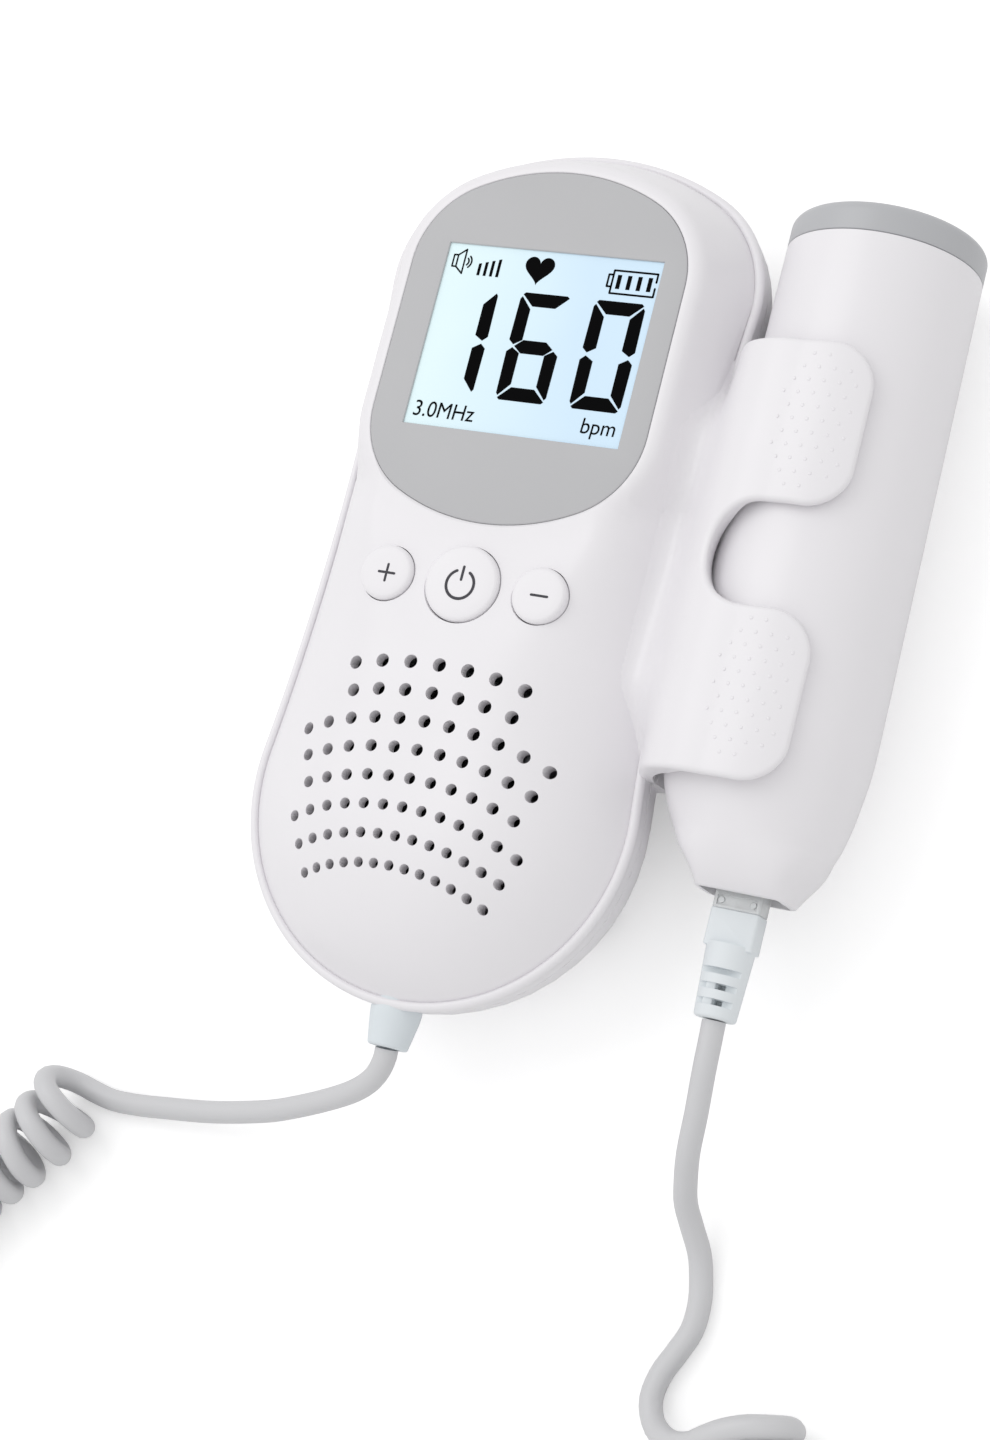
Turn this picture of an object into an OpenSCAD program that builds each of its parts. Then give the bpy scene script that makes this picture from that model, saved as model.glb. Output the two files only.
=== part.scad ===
// Hand-held fetal heart-rate doppler: a main unit with display, keys and loudspeaker,
// a round probe that slides into the cradle on its right side, and a curly cord between them.
// Millimetres. +Z is out of the display face, +Y towards the display end, +X towards the probe.

/* [Main unit] */
// Length of the main unit from tail to head
body_len = 143.5; // [132:0.5:156]
// Width across the head, round the display
head_w = 65.2; // [62:0.2:72]
// Width across the tail, round the loudspeaker
tail_w = 66.6; // [62:0.2:72]
// Radius of the flat curve at the head end
head_end_r = 46.6; // [40:0.2:60]
// Radius of the two head corners
head_corner_r = 20; // [16:0.5:24]
// Radius of the long hollow curve of the waist
waist_r = 430; // [350:10:900]
// Height of the face above the surface the unit lies on
face_h = 35.4; // [34:0.2:38]
// Height of the top of the rim bead
rim_h = 23; // [22:0.2:25]
// Height of the parting line between the shells
part_h = 19; // [18.5:0.1:19.5]
// Wall thickness of the shells
wall = 2; // [1.6:0.1:2.2]
// Drop of the face from the loudspeaker end to the display end
head_drop = 1.5; // [0.5:0.1:2.5]
// Width of the rim bead
bead_w = 1.5; // [1:0.1:2]
// How far the rear shell draws in from the parting line to its flat
rear_draw = 12; // [10:0.5:14]

/* [Display] */
// Width of the grey bezel
bezel_w = 47.6; // [44:0.2:50]
// Length of the grey bezel
bezel_len = 59.3; // [54:0.2:62]
// Height of the bezel's lower end above the tail centre
bezel_y = 42.7; // [41:0.1:45]
// Radius of the bezel's end curves
bezel_end_r = 34.5; // [30:0.5:45]
// Radius of the bezel's corners
bezel_corner_r = 15; // [10:0.5:18]
// Thickness of the bezel
bezel_t = 1.2; // [0.8:0.1:1.5]
// Width of the display window
window_w = 37.4; // [34:0.2:40]
// Height of the display window
window_h = 31; // [28:0.2:34]
// Middle of the window above the tail centre
window_y = 72.9; // [70:0.1:75]
// Sideways place of the window
window_x = 0.6; // [0:0.1:1.5]

/* [Keys] */
// Radius of the power key
power_r = 6.2; // [5:0.1:7]
// Radius of the volume keys
volume_r = 4.5; // [3.5:0.1:5.5]
// Distance of each volume key from the middle
key_pitch = 13.2; // [12.5:0.1:15]
// Middle of the keys above the tail centre
key_y = 32.4; // [31:0.1:34]
// How far the keys stand out of the face
key_proud = 1.5; // [1:0.1:2]
// Gap round each key
key_gap = 0.25; // [0.15:0.05:0.4]
// Travel of the keys
key_travel = 0.6; // [0.4:0.1:0.7]

/* [Loudspeaker grille] */
// Radius of the first arc of holes
grille_r = 69.3; // [66:0.1:72]
// Spacing of the arcs
grille_step = 4.56; // [4.2:0.02:4.8]
// Angle between neighbouring holes
grille_angle = 4.07; // [3.8:0.01:4.2]
// Hole diameter in the first arc
grille_d_first = 2.2; // [1.6:0.1:2.4]
// Hole diameter in the last arc
grille_d_last = 1.6; // [1.2:0.1:1.8]
// Top of the first arc above the tail centre
grille_y = 19; // [18:0.1:20]
// Radius of the loudspeaker basket
speaker_r = 17.5; // [14:0.5:18.5]

/* [Probe] */
// Distance of the probe axis from the middle of the main unit
probe_x = 49.6; // [49.4:0.1:52]
// Radius of the probe at its widest
probe_r = 16; // [15:0.1:16.2]
// Radius of the probe below its cap
probe_top_r = 15.6; // [14.8:0.1:15.9]
// Length of the probe body without its cap
probe_len = 101.8; // [96:0.2:110]
// Distance from the probe's lower end to the tail centre
probe_low = 5; // [3:0.2:8]
// Length of the rounded nose
nose_len = 27; // [24:0.5:30]
// Height of the grey cap
cap_h = 5.1; // [4:0.1:7]
// Wall of the probe shell
probe_wall = 1.8; // [1.4:0.1:2.2]

/* [Cradle] */
// Running clearance round the probe
cradle_gap = 0.4; // [0.3:0.05:0.6]
// Thickness of the claws and of the rear arm
claw_t = 2; // [1.6:0.1:2]
// Reach of the claws past the probe axis
claw_reach = 8.2; // [6:0.1:10]
// Lower end of the cradle above the tail centre
cradle_low = 9.5; // [8:0.1:14]
// Length of the cradle
cradle_len = 68.2; // [64:0.2:76]
// Middle of the finger notch above the tail centre
notch_y = 43.8; // [42:0.1:46]
// Width of the finger notch
notch_w = 16.3; // [12:0.1:18]
// Corner radius of the claws
claw_corner_r = 6.8; // [4:0.1:8]

/* [Battery compartment] */
// Diameter of a battery cell
cell_d = 14.5; // [14:0.1:14.5]
// Length of a battery cell
cell_len = 50.5; // [48:0.5:51]
// Width of the battery cover
cover_w = 33; // [32.6:0.2:34]
// Thickness of the battery cover
cover_t = 1.8; // [1.4:0.1:1.9]
// Upper end of the battery cover above the tail centre
cover_top = 58; // [57.6:0.1:60]

/* [Cord] */
// Diameter of the cord
cord_d = 3.7; // [3.4:0.1:3.8]
// Outer diameter of the curls
curl_outer_d = 13.8; // [13:0.1:14]
// Number of curls
curls = 64; // [45:1:64]

/* [Hidden] */

// Overrun of every cut through a face
cut = 1;
// Clearance between pieces that are put together and do not move
fit_gap = 0.1;
tail_r = tail_w / 2;
head_y = body_len - tail_r;
part_inset = 0.25;
probe_z = probe_r + cradle_gap + claw_t;
probe_right = probe_x + probe_r;
// The part stands with its origin under the middle of its box
shift_x = (tail_r - probe_right) / 2;
shift_y = (tail_r - head_y) / 2;
channel_r = probe_r + cradle_gap;
claw_r = channel_r + claw_t;

module put() translate([shift_x, shift_y, 0]) children();

// Outline of the main unit: tail arc, waist arc, corner arc and head arc, tangent to each other
corner_x = head_w / 2 - head_corner_r;
top_y = head_y - head_end_r;
corner_y = top_y + sqrt(pow(head_end_r - head_corner_r, 2) - corner_x * corner_x);
reach_t = waist_r + tail_r;
reach_c = waist_r + head_corner_r;
span = norm([corner_x, corner_y]);
along = (reach_t * reach_t - reach_c * reach_c + span * span) / (2 * span);
aside = sqrt(reach_t * reach_t - along * along);
waist_x = (along * corner_x + aside * corner_y) / span;
waist_y = (along * corner_y - aside * corner_x) / span;
tail_a = atan2(waist_y, waist_x);
corner_a = atan2(waist_y - corner_y, waist_x - corner_x);
top_a = atan2(corner_y - top_y, corner_x);

function arc(c, r, a0, a1, n) = [for (i = [0 : n - 1]) c + r * [cos(a0 + (a1 - a0) * i / n),
    sin(a0 + (a1 - a0) * i / n)]];
half = concat(arc([0, 0], tail_r, -90, tail_a, 13), arc([waist_x, waist_y], waist_r, 180 + tail_a,
    180 + corner_a, 8), arc([corner_x, corner_y], head_corner_r, corner_a, top_a, 8),
    arc([0, top_y], head_end_r, top_a, 90, 5), [[0, head_y]]);
N = len(half) - 1;
loop = concat(half, [for (i = [N - 1 : -1 : 1]) [-half[i].x, half[i].y]]);
M = len(loop);
spine_y = head_y - 0.92 * tail_r;
function clamp(v, a, b) = max(a, min(b, v));
function smooth(v) = let (c = clamp(v, 0, 1)) c * c * (3 - 2 * c);
function toward(p, t) = p + t * ([0, clamp(p.y, 0, spine_y)] - p);

// The face: full and round over the loudspeaker, a flat shoulder with a short flank at the display
tail_fall_share = 0.9;
head_fall_share = 0.36;
tail_bend = 3.1;
head_bend = 2;
bead_base = rim_h - 0.3 * bead_w;
function head_mix(y) = smooth((y - 0.45 * tail_r) / (0.9 * tail_r));
function crown(y) = face_h - head_drop * head_mix(y);
function face_z(t, y) = let (k = head_mix(y), w = tail_fall_share + k * (head_fall_share
    - tail_fall_share), q = tail_bend + k * (head_bend - tail_bend)) crown(y)
    - (crown(y) - bead_base) * pow(max(0, 1 - t / w), q);

function flat_ring(inset, z) = [for (p = loop) let (q = toward(p, inset / tail_r)) [q.x, q.y, z]];
function face_ring(t, inset, lower) = [for (p = loop) let (q = toward(p, t + inset / tail_r))
    [q.x, q.y, face_z(t, q.y) - lower]];

// A closed solid through rings of equal count, first ring lowest, ends closed across the spine
module loft(rings) {
    n = len(rings);
    last = (n - 1) * M;
    sides = [for (r = [0 : n - 2]) for (i = [0 : M - 1]) let (a = r * M + i, b = r * M + (i + 1) % M)
        each [[a, a + M, b + M], [a, b + M, b]]];
    low = [for (i = [0 : N - 1]) let (l0 = (M - i) % M, l1 = M - i - 1) each
        (i == 0 ? [[0, 1, l1]] : i == N - 1 ? [[i, i + 1, l0]] : [[i, i + 1, l1], [i, l1, l0]])];
    high = [for (f = low) [for (k = [2 : -1 : 0]) f[k] + last]];
    polyhedron([for (r = rings) each r], concat(sides, low, high), 10);
}

face_share = [0, 0.03, 0.07, 0.12, 0.18, 0.25, 0.34, 0.48, 0.66, 0.86];
bead_share = [[0, -0.3], [0.15, 0.05], [0.5, 0.25], [0.85, 0.05]];
rear_share = [[1, 1], [0.86, 0.985], [0.7, 0.92], [0.53, 0.82], [0.39, 0.7], [0.25, 0.55], [0.14, 0.4],
    [0.06, 0.25], [0.015, 0.12], [0, 0]];

module front_outer() loft(concat([flat_ring(part_inset, part_h), flat_ring(part_inset, bead_base)],
    [for (s = bead_share) flat_ring(s[0] * bead_w, bead_base + (s[1] + 0.3) * bead_w)],
    [for (s = face_share) face_ring(s, bead_w, 0)]));
module front_inner() loft(concat([flat_ring(wall + part_inset, part_h - cut),
    flat_ring(wall + part_inset, bead_base - wall)], [for (s = face_share) face_ring(s,
    bead_w + wall, wall)]));
module rear_outer() loft([for (s = rear_share) flat_ring(part_inset + rear_draw * s[0],
    part_h * (1 - s[1]))]);
module rear_inner() loft(concat([for (s = rear_share) flat_ring(wall + part_inset + rear_draw * s[0],
    wall + (part_h - wall) * (1 - s[1]))], [flat_ring(wall + part_inset, part_h + cut)]));

// Cradle seen from the face: two claws with a round finger notch between them
claw_x = probe_x + claw_reach;
cradle_top = cradle_low + cradle_len;
cradle_mid = (cradle_low + cradle_top) / 2;
root_x = 0.6 * tail_r;
plate_x = 0.78 * tail_r;
plate_root_r = 12;
plate_slope = 0.25;
module claw_plan() difference() {
    union() {
        for (y = [cradle_low, notch_y + notch_w / 2]) let (h = y == cradle_low ? notch_y - notch_w / 2
            - cradle_low : cradle_top - notch_y - notch_w / 2) {
            translate([root_x, y]) square([claw_x - root_x - claw_corner_r, h]);
            translate([claw_x - 2 * claw_corner_r, y + claw_corner_r])
                square([2 * claw_corner_r, h - 2 * claw_corner_r]);
            for (v = [y + claw_corner_r, y + h - claw_corner_r])
                translate([claw_x - claw_corner_r, v]) circle(claw_corner_r, $fn = 48);
        }
        translate([root_x, cradle_low]) square([probe_x - notch_w / 4 - root_x, cradle_len]);
    }
    translate([plate_x, cradle_top - plate_root_r]) difference() {
        translate([-plate_root_r, 0]) square([2 * plate_root_r, 2 * plate_root_r]);
        translate([plate_root_r, 0]) circle(plate_root_r, $fn = 64);
        translate([plate_root_r, -cut]) square(2 * plate_root_r);
    }
    translate([probe_x - notch_w / 4, notch_y]) circle(notch_w / 2, $fn = 64);
}
// Section of the claws: a straight slope from the face that runs tangent into the arc round the probe
tangent_a = 90 + atan(plate_slope);
edge_a = acos(claw_reach / claw_r);
slope_x = probe_x + claw_r * cos(tangent_a);
slope_z = probe_z + claw_r * sin(tangent_a);
module claw_section() polygon(concat([[root_x, part_h], [root_x, slope_z - plate_slope
    * (slope_x - root_x)]], [for (i = [0 : 8]) let (a = tangent_a + (edge_a - tangent_a) * i / 8)
    [probe_x, probe_z] + claw_r * [cos(a), sin(a)]], [for (i = [0 : 16]) let (a = edge_a
    + (180 + asin((probe_z - part_h) / channel_r) - edge_a) * i / 16)
    [probe_x, probe_z] + channel_r * [cos(a), sin(a)]]));
module arm_section() polygon(concat([[root_x, part_h], [root_x, part_h - 0.4 * tail_r]],
    [for (i = [0 : 10]) let (a = 200 + 95 * i / 10) [probe_x, probe_z] + claw_r * [cos(a), sin(a)]],
    [for (i = [0 : 12]) let (a = 295 + (180 + asin((probe_z - part_h) / channel_r) - 295) * i / 12)
    [probe_x, probe_z] + channel_r * [cos(a), sin(a)]]));
module along_y(y, len) translate([0, y + len, 0]) rotate([90, 0, 0]) linear_extrude(len) children();

// Display: window, bezel and the module behind them
bezel_top = crown(window_y) + 0.1 * bezel_t;
bezel_floor = bezel_top - bezel_t;
glass_margin = 1.1;
glass_t = 2;
glass_w = window_w + 2 * glass_margin;
glass_h = window_h + 2 * glass_margin;
glass_top = bezel_floor - fit_gap;
light_t = 2.4;
frame_t = 1.2;
bezel_half = bezel_w / 2;
bezel_dx = bezel_half - bezel_corner_r;
bezel_dy = sqrt(pow(bezel_end_r - bezel_corner_r, 2) - bezel_dx * bezel_dx);
bezel_low_c = bezel_y + bezel_end_r;
bezel_high_c = bezel_y + bezel_len - bezel_end_r;
bezel_a = atan2(bezel_dy, bezel_dx);
function bezel_corner(s, v) = [s * bezel_dx, v > 0 ? bezel_high_c + bezel_dy : bezel_low_c - bezel_dy];
module bezel_plan(grow) polygon(concat(
    arc(bezel_corner(1, 1), bezel_corner_r + grow, 0, bezel_a, 10),
    arc([0, bezel_high_c], bezel_end_r + grow, bezel_a, 180 - bezel_a, 12),
    arc(bezel_corner(-1, 1), bezel_corner_r + grow, 180 - bezel_a, 180, 10),
    arc(bezel_corner(-1, -1), bezel_corner_r + grow, 180, 180 + bezel_a, 10),
    arc([0, bezel_low_c], bezel_end_r + grow, 180 + bezel_a, 360 - bezel_a, 12),
    arc(bezel_corner(1, -1), bezel_corner_r + grow, 360 - bezel_a, 360, 11)));
module window_box(w, h, z0, z1) translate([window_x - w / 2, window_y - h / 2, z0]) cube([w, h, z1 - z0]);

// Main board and what stands on it
board_top = face_h - 5.9 * wall;
board_t = 1.6;
board_gap = 3.8 * wall;
board_w = head_w - 2 * board_gap;
board_low = key_y - 1.45 * power_r;
board_high = window_y + glass_h / 2 - frame_t / 2;
board_screw_r = 1.2;
board_screw_len = 5;
post_r = 2.6;
board_screw_at = [for (x = [-1, 1]) for (y = [board_low + post_r, window_y - glass_h / 2 - frame_t
    - 2 * post_r]) [x * (board_w / 2 - post_r), y]];
frame_low = glass_top - glass_t - light_t;

// Case screws, at places that follow the outline
screw_r = 1.3;
screw_head_r = 2.4;
screw_head_t = 1.6;
screw_len = part_h - wall;
boss_r = 3.2;
screw_seat = 3.6;
case_screw_at = [[0.66 * tail_r, -0.3 * tail_r], [-0.66 * tail_r, -0.3 * tail_r],
    [0.28 * head_w, head_y - 0.4 * tail_r], [-0.28 * head_w, head_y - 0.4 * tail_r]];

// Battery compartment
cover_gap = 0.3;
cell_z = cover_t + 2 * cover_gap + cell_d / 2;
cell_gap = 0.4;
spring_len = 3.2;
plate_t = 0.6;
bay_w = 2 * cell_d + 3 * cell_gap;
bay_top = cell_z + cell_d / 2 + cell_gap;
bay_len = cell_len + spring_len + 3 * plate_t;
bay_low = cover_top - 3.4 - bay_len;
bay_wall = 1.2;
cell_low = bay_low + plate_t + spring_len;

// Keys
key_skirt_t = 1;
key_flange = 0.9;
function key_r(k) = k == 0 ? power_r : volume_r;
function key_face(k) = face_z(1 - abs(k) * key_pitch / tail_r, key_y);
key_top = [for (k = [-1, 0, 1]) key_face(k) + key_proud];
key_under = face_z(1 - (key_pitch + volume_r) / tail_r, key_y) - 1.05 * wall;
mat_t = 1;
mat_top = key_under - key_gap - key_skirt_t - key_travel - key_gap;

// Cord gland and plug
gland_r = 4.1;
gland_tip_r = 3.2;
gland_z = part_h - 0.1;
gland_out = 6;
gland_in = 2;
gland_flange = 5.6;
plug_x = probe_x + 1.2;
plug_w = 7.6;
plug_t = 4.6;
plug_len = 11.4;
plug_show = 2.4;
boot_len = 5.8;
boot_w = 7.8;
boot_t = 4.8;
boot_chamfer = 0.8;
neck_r = 3.8;
relief_len = 10.7;
relief_tip_r = 3.3;
socket_w = 14;
socket_t = 10.4;
socket_in_w = 11.6;
socket_in_t = 8;
end_y = -probe_low;
plug_back = end_y - plug_show;
boot_end = plug_back - boot_len;
relief_end = boot_end - relief_len;

// Route of the unit's lead, from the gland down to the table, towards the first curl
unit_route = [[0, -39.3, 18.9], [-0.5, -42.8, 17.8], [-4.6, -46.1, 15.4], [-10.6, -49.1, 13],
    [-17.6, -51.7, 10.6], [-23.5, -53.4, 8.6], [-33.8, -55.5, 5.9], [-44.5, -56.8, 3.6],
    [-51, -57.6, 2.3]];
// Middle line of the curly stretch, seen from above
curl_route = [[-59.5, -57], [-64, -66], [-71, -74], [-78.5, -83.5], [-83.5, -95], [-85.5, -109],
    [-84, -124], [-78, -138], [-67.5, -150], [-53.5, -158.5], [-37, -163.5], [-18, -166],
    [2, -166], [21, -163.5], [38.5, -158], [54, -149], [66, -136.5], [73, -121.5], [75, -106.5],
    [73, -92.5], [68, -80]];
// Route of the probe's lead, from the strain relief down to the table, towards the last curl
probe_route = [[50.8, -24.1, 18.4], [50.9, -27.5, 18.3], [50.9, -31.7, 17.9], [50.6, -38, 15.9],
    [49.9, -43.6, 13.2], [49.6, -47.7, 10.4], [49.6, -51, 7.8], [50.6, -54.2, 5.3], [52, -57.8, 3],
    [52.8, -61.2, 2], [53.5, -65, 1.9], [55.6, -68.8, 1.9], [60, -70.6, 1.9], [66.5, -69.8, 1.9],
    [72.5, -69.4, 1.9], [77, -71.6, 1.9], [78, -75.4, 1.9]];
cord_sides = 8;
curl_sides = 6;
curl_rings = 8;
curl_r = (curl_outer_d - cord_d) / 2;
curl_z = curl_outer_d / 2;

function cubic(a, b, c, d, t) = 0.5 * (2 * b + (c - a) * t + (2 * a - 5 * b + 4 * c - d) * t * t
    + (3 * b - a - 3 * c + d) * t * t * t);
function on_route(p, u) = let (n = len(p) - 1, i = min(floor(u), n - 1), t = u - i)
    cubic(p[max(i - 1, 0)], p[i], p[i + 1], p[min(i + 2, n)], t);
function unit(v) = v / norm(v);
function sum(v) = v * [for (i = v) 1];
function tube_points(path, r, sides) = [for (k = [0 : len(path) - 1]) let (a = path[max(k - 1, 0)],
    b = path[min(k + 1, len(path) - 1)], t = unit(b - a), s = unit(cross(t, abs(t.z) > 0.9 ? [1, 0, 0]
    : [0, 0, 1])), w = cross(s, t)) for (j = [0 : sides - 1]) path[k] + r * (cos(360 * j / sides) * s
    + sin(360 * j / sides) * w)];
module tube(path, r, sides) {
    n = len(path);
    polyhedron(tube_points(path, r, sides), concat([[for (j = [sides - 1 : -1 : 0]) j]],
        [for (k = [0 : n - 2]) for (j = [0 : sides - 1]) let (a = k * sides + j, b = k * sides
        + (j + 1) % sides) each [[a, b, b + sides], [a, b + sides, a + sides]]],
        [[for (j = [0 : sides - 1]) (n - 1) * sides + j]]), 10);
}
module cord_along(route, steps) tube([for (i = [0 : steps]) on_route(route, (len(route) - 1)
    * i / steps)], cord_d / 2, cord_sides);

// Curls: equal steps along the middle line
curl_n = curls * curl_rings;
curl_fine = 10;
curl_steps = (len(curl_route) - 1) * curl_fine;
curl_line = [for (i = [0 : curl_steps]) on_route(curl_route, i / curl_fine)];
function run(i, total) = i > curl_steps ? [] : concat([[total, i / curl_fine]],
    run(i + 1, total + (i < curl_steps ? norm(curl_line[i + 1] - curl_line[i]) : 0)));
curl_run = run(0, 0);
curl_len = curl_run[curl_steps][0];
// The first curls are pulled a little open by the lead
open_len = 2.3;
open_share = 2;
curl_u = [for (i = [0 : curl_n]) lookup((curl_len - open_len) * i / curl_n
    + open_len * (1 - exp(-i / curl_rings / open_share)), curl_run)];
function curl_mid(u) = let (q = on_route(curl_route, clamp(u, 0, len(curl_route) - 1)))
    [q.x, q.y, curl_z];
function curl_side(u) = let (t = unit(curl_mid(u + 0.05) - curl_mid(u - 0.05))) [t.y, -t.x, 0];
function curl_point(i) = let (w = 360 * i / curl_rings)
    curl_mid(curl_u[i]) + curl_r * (sin(w) * curl_side(curl_u[i]) - cos(w) * [0, 0, 1]);
curl_turns = [for (i = [0 : curl_n]) curl_point(i)];
// A straight piece as long as the cord is thick leads into the first curl and out of the last
curl_in = curl_turns[0] - cord_d * curl_side(0);
curl_out = curl_turns[curl_n] + cord_d * curl_side(curl_u[curl_n]);
curl_path = concat([curl_in], curl_turns, [curl_out]);
unit_path = concat(unit_route, [curl_in - cord_d * curl_side(0) / 2, curl_in]);
probe_path = concat(probe_route, [curl_out + cord_d / 2 * curl_side(curl_u[curl_n]), curl_out]);
// Least distance between the middle lines of neighbouring turns, less the cord itself
curl_gap = min([for (i = [0 : curl_n - curl_rings]) min([for (j = [curl_rings - 3 : min(curl_rings
    + 3, curl_n - i)]) norm(curl_turns[i + j] - curl_turns[i])])]) - cord_d;
echo(curly_cord_least_gap = curl_gap, curly_cord_length = sum([for (i = [1 : curl_n])
    norm(curl_turns[i] - curl_turns[i - 1])]), middle_line = curl_len);

module front_shell() color("#ededef") put() {
    difference() {
        union() {
            difference() {
                union() {
                    front_outer();
                    intersection() {
                        along_y(cradle_low, cradle_len) claw_section();
                        translate([0, 0, part_h]) linear_extrude(face_h) claw_plan();
                    }
                }
                front_inner();
            }
            intersection() {
                union() {
                    for (s = case_screw_at) translate([s.x, s.y, part_h])
                        cylinder(r = boss_r, h = face_h - part_h, $fn = 32);
                    for (s = board_screw_at) translate([s.x, s.y, board_top + fit_gap])
                        cylinder(r = post_r, h = face_h - board_top, $fn = 32);
                }
                front_outer();
            }
        }
        along_y(probe_low - 2 * probe_r, head_y + 3 * probe_r) translate([probe_x, probe_z])
            circle(channel_r, $fn = 96);
        translate([0, 0, bezel_floor]) linear_extrude(face_h) bezel_plan(fit_gap);
        window_box(glass_w + 2 * fit_gap, glass_h + 2 * fit_gap, part_h, face_h);
        window_box(glass_w + 2 * frame_t + 2 * fit_gap, glass_h + 2 * frame_t + 2 * fit_gap, part_h,
            frame_low + light_t + fit_gap);
        for (k = [-1, 0, 1]) translate([k * key_pitch, key_y, part_h])
            cylinder(r = key_r(k) + key_gap, h = face_h, $fn = 48);
        for (k = [-1, 0, 1]) translate([k * key_pitch, key_y, part_h])
            cylinder(r = key_r(k) + key_flange + key_gap, h = key_under - part_h, $fn = 48);
        grille_holes();
        for (s = case_screw_at) translate([s.x, s.y, part_h - cut])
            cylinder(r = screw_r + fit_gap, h = screw_seat + screw_len + 2 * cut - part_h, $fn = 24);
        for (s = board_screw_at) translate([s.x, s.y, part_h])
            cylinder(r = board_screw_r + fit_gap, h = board_top + board_screw_len - part_h, $fn = 24);
        gland_hole();
    }
}

rows = [3, 3, 5, 5, 5, 6, 6, 6];
module grille_holes() for (i = [0 : len(rows) - 1]) for (j = [-rows[i] : rows[i]])
    let (r = grille_r - i * grille_step, d = grille_d_first + (grille_d_last - grille_d_first)
        * i / (len(rows) - 1))
    translate([r * sin(j * grille_angle), grille_y - grille_r + r * cos(j * grille_angle), part_h])
        cylinder(d = d, h = face_h, $fn = 13);

module gland_hole() {
    along_y(-tail_r - cut, 2 * wall + cut) translate([0, gland_z]) circle(gland_r + fit_gap, $fn = 48);
    along_y(-tail_r + wall + part_inset + fit_gap, 2 * gland_in) translate([0, gland_z])
        circle(gland_flange + fit_gap, $fn = 48);
}

module rear_shell() color("#e9e9ec") put() {
    difference() {
        union() {
            difference() {
                union() {
                    rear_outer();
                    along_y(cradle_low, cradle_len) arm_section();
                }
                rear_inner();
                translate([0, 0, part_h]) linear_extrude(face_h) square(3 * body_len, center = true);
            }
            intersection() {
                rear_outer();
                union() {
                    for (s = case_screw_at) translate([s.x, s.y, 0])
                        cylinder(r = boss_r, h = part_h, $fn = 32);
                    translate([-bay_w / 2 - bay_wall, bay_low - bay_wall, 0])
                        cube([bay_w + 2 * bay_wall, bay_len + 2 * bay_wall, bay_top + bay_wall]);
                    translate([-cover_w / 2 - 2 * wall, -tail_r, 0])
                        cube([cover_w + 4 * wall, tail_r + cover_top + wall, cover_t + cover_gap + wall]);
                }
            }
        }
        translate([-cover_w / 2 - cover_gap, -2 * tail_r, -cut])
            cube([cover_w + 2 * cover_gap, 2 * tail_r + cover_top + cover_gap, cover_t + cover_gap + cut]);
        translate([-bay_w / 2, bay_low, 0]) cube([bay_w, bay_len, bay_top]);
        for (s = case_screw_at) translate([s.x, s.y, -cut]) {
            cylinder(r = screw_r + fit_gap, h = part_h + 2 * cut, $fn = 24);
            cylinder(r = screw_head_r + 2 * fit_gap, h = screw_seat + cut, $fn = 32);
        }
        along_y(-tail_r, body_len) translate([probe_x, probe_z]) circle(channel_r, $fn = 96);
        gland_hole();
    }
}

module battery_cover() color("#e9e9ec") put() difference() {
    intersection() {
        rear_outer();
        translate([-cover_w / 2, -tail_r, 0]) cube([cover_w, tail_r + cover_top, cover_t]);
    }
    for (i = [0 : 5]) translate([-cover_w / 4, cover_top - 0.15 * cover_w - 0.08 * cover_w * i, -cut])
        cube([cover_w / 2, 0.035 * cover_w, cut + 0.3 * cover_t]);
}

module display_bezel() color("#bdbdbf") put() difference() {
    translate([0, 0, bezel_floor]) linear_extrude(bezel_t) bezel_plan(0);
    window_box(window_w, window_h, bezel_floor - cut, bezel_top + cut);
}
module lcd_panel() color("#dcf4fc") put() window_box(glass_w, glass_h, glass_top - glass_t, glass_top);
module lcd_backlight() color("#f4fbff") put() window_box(glass_w, glass_h, frame_low,
    glass_top - glass_t);
module lcd_frame() color("#3a3a3c") put() difference() {
    window_box(glass_w + 2 * frame_t, glass_h + 2 * frame_t, board_top, frame_low + light_t);
    window_box(glass_w + 2 * fit_gap, glass_h + 2 * fit_gap, frame_low, face_h);
    window_box(window_w - 2 * frame_t, window_h - 2 * frame_t, part_h, face_h);
}

module key(k) put() translate([k * key_pitch, key_y, 0]) {
    top = key_top[k + 1];
    edge = 0.35 * key_proud;
    rotate_extrude($fn = 64) polygon([[0, key_under - key_gap - key_skirt_t],
        [key_r(k) + key_flange, key_under - key_gap - key_skirt_t], [key_r(k) + key_flange,
        key_under - key_gap], [key_r(k), key_under - key_gap], [key_r(k), top - 2 * edge], [key_r(k) - 0.3 * edge, top - edge],
        [key_r(k) - edge, top - 0.3 * edge], [key_r(k) - 2 * edge, top], [0, top]]);
}
module plus_key() color("#f0f0f2") key(-1);
module power_key() color("#f0f0f2") key(0);
module minus_key() color("#f0f0f2") key(1);

dome_h = mat_top - board_top - mat_t;
module key_mat() color("#d7d7d9") put() {
    difference() {
        translate([-key_pitch - volume_r - key_flange, key_y - power_r - key_flange, board_top])
            cube([2 * (key_pitch + volume_r + key_flange), 2 * (power_r + key_flange), mat_t]);
        for (k = [-1, 0, 1]) translate([k * key_pitch, key_y, board_top - cut])
            cylinder(r = 0.4 * key_r(k), h = cut + mat_t / 2, $fn = 32);
    }
    for (k = [-1, 0, 1]) translate([k * key_pitch, key_y, board_top + mat_t])
        cylinder(r1 = 0.7 * key_r(k), r2 = 0.5 * key_r(k), h = dome_h, $fn = 32);
}

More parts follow.
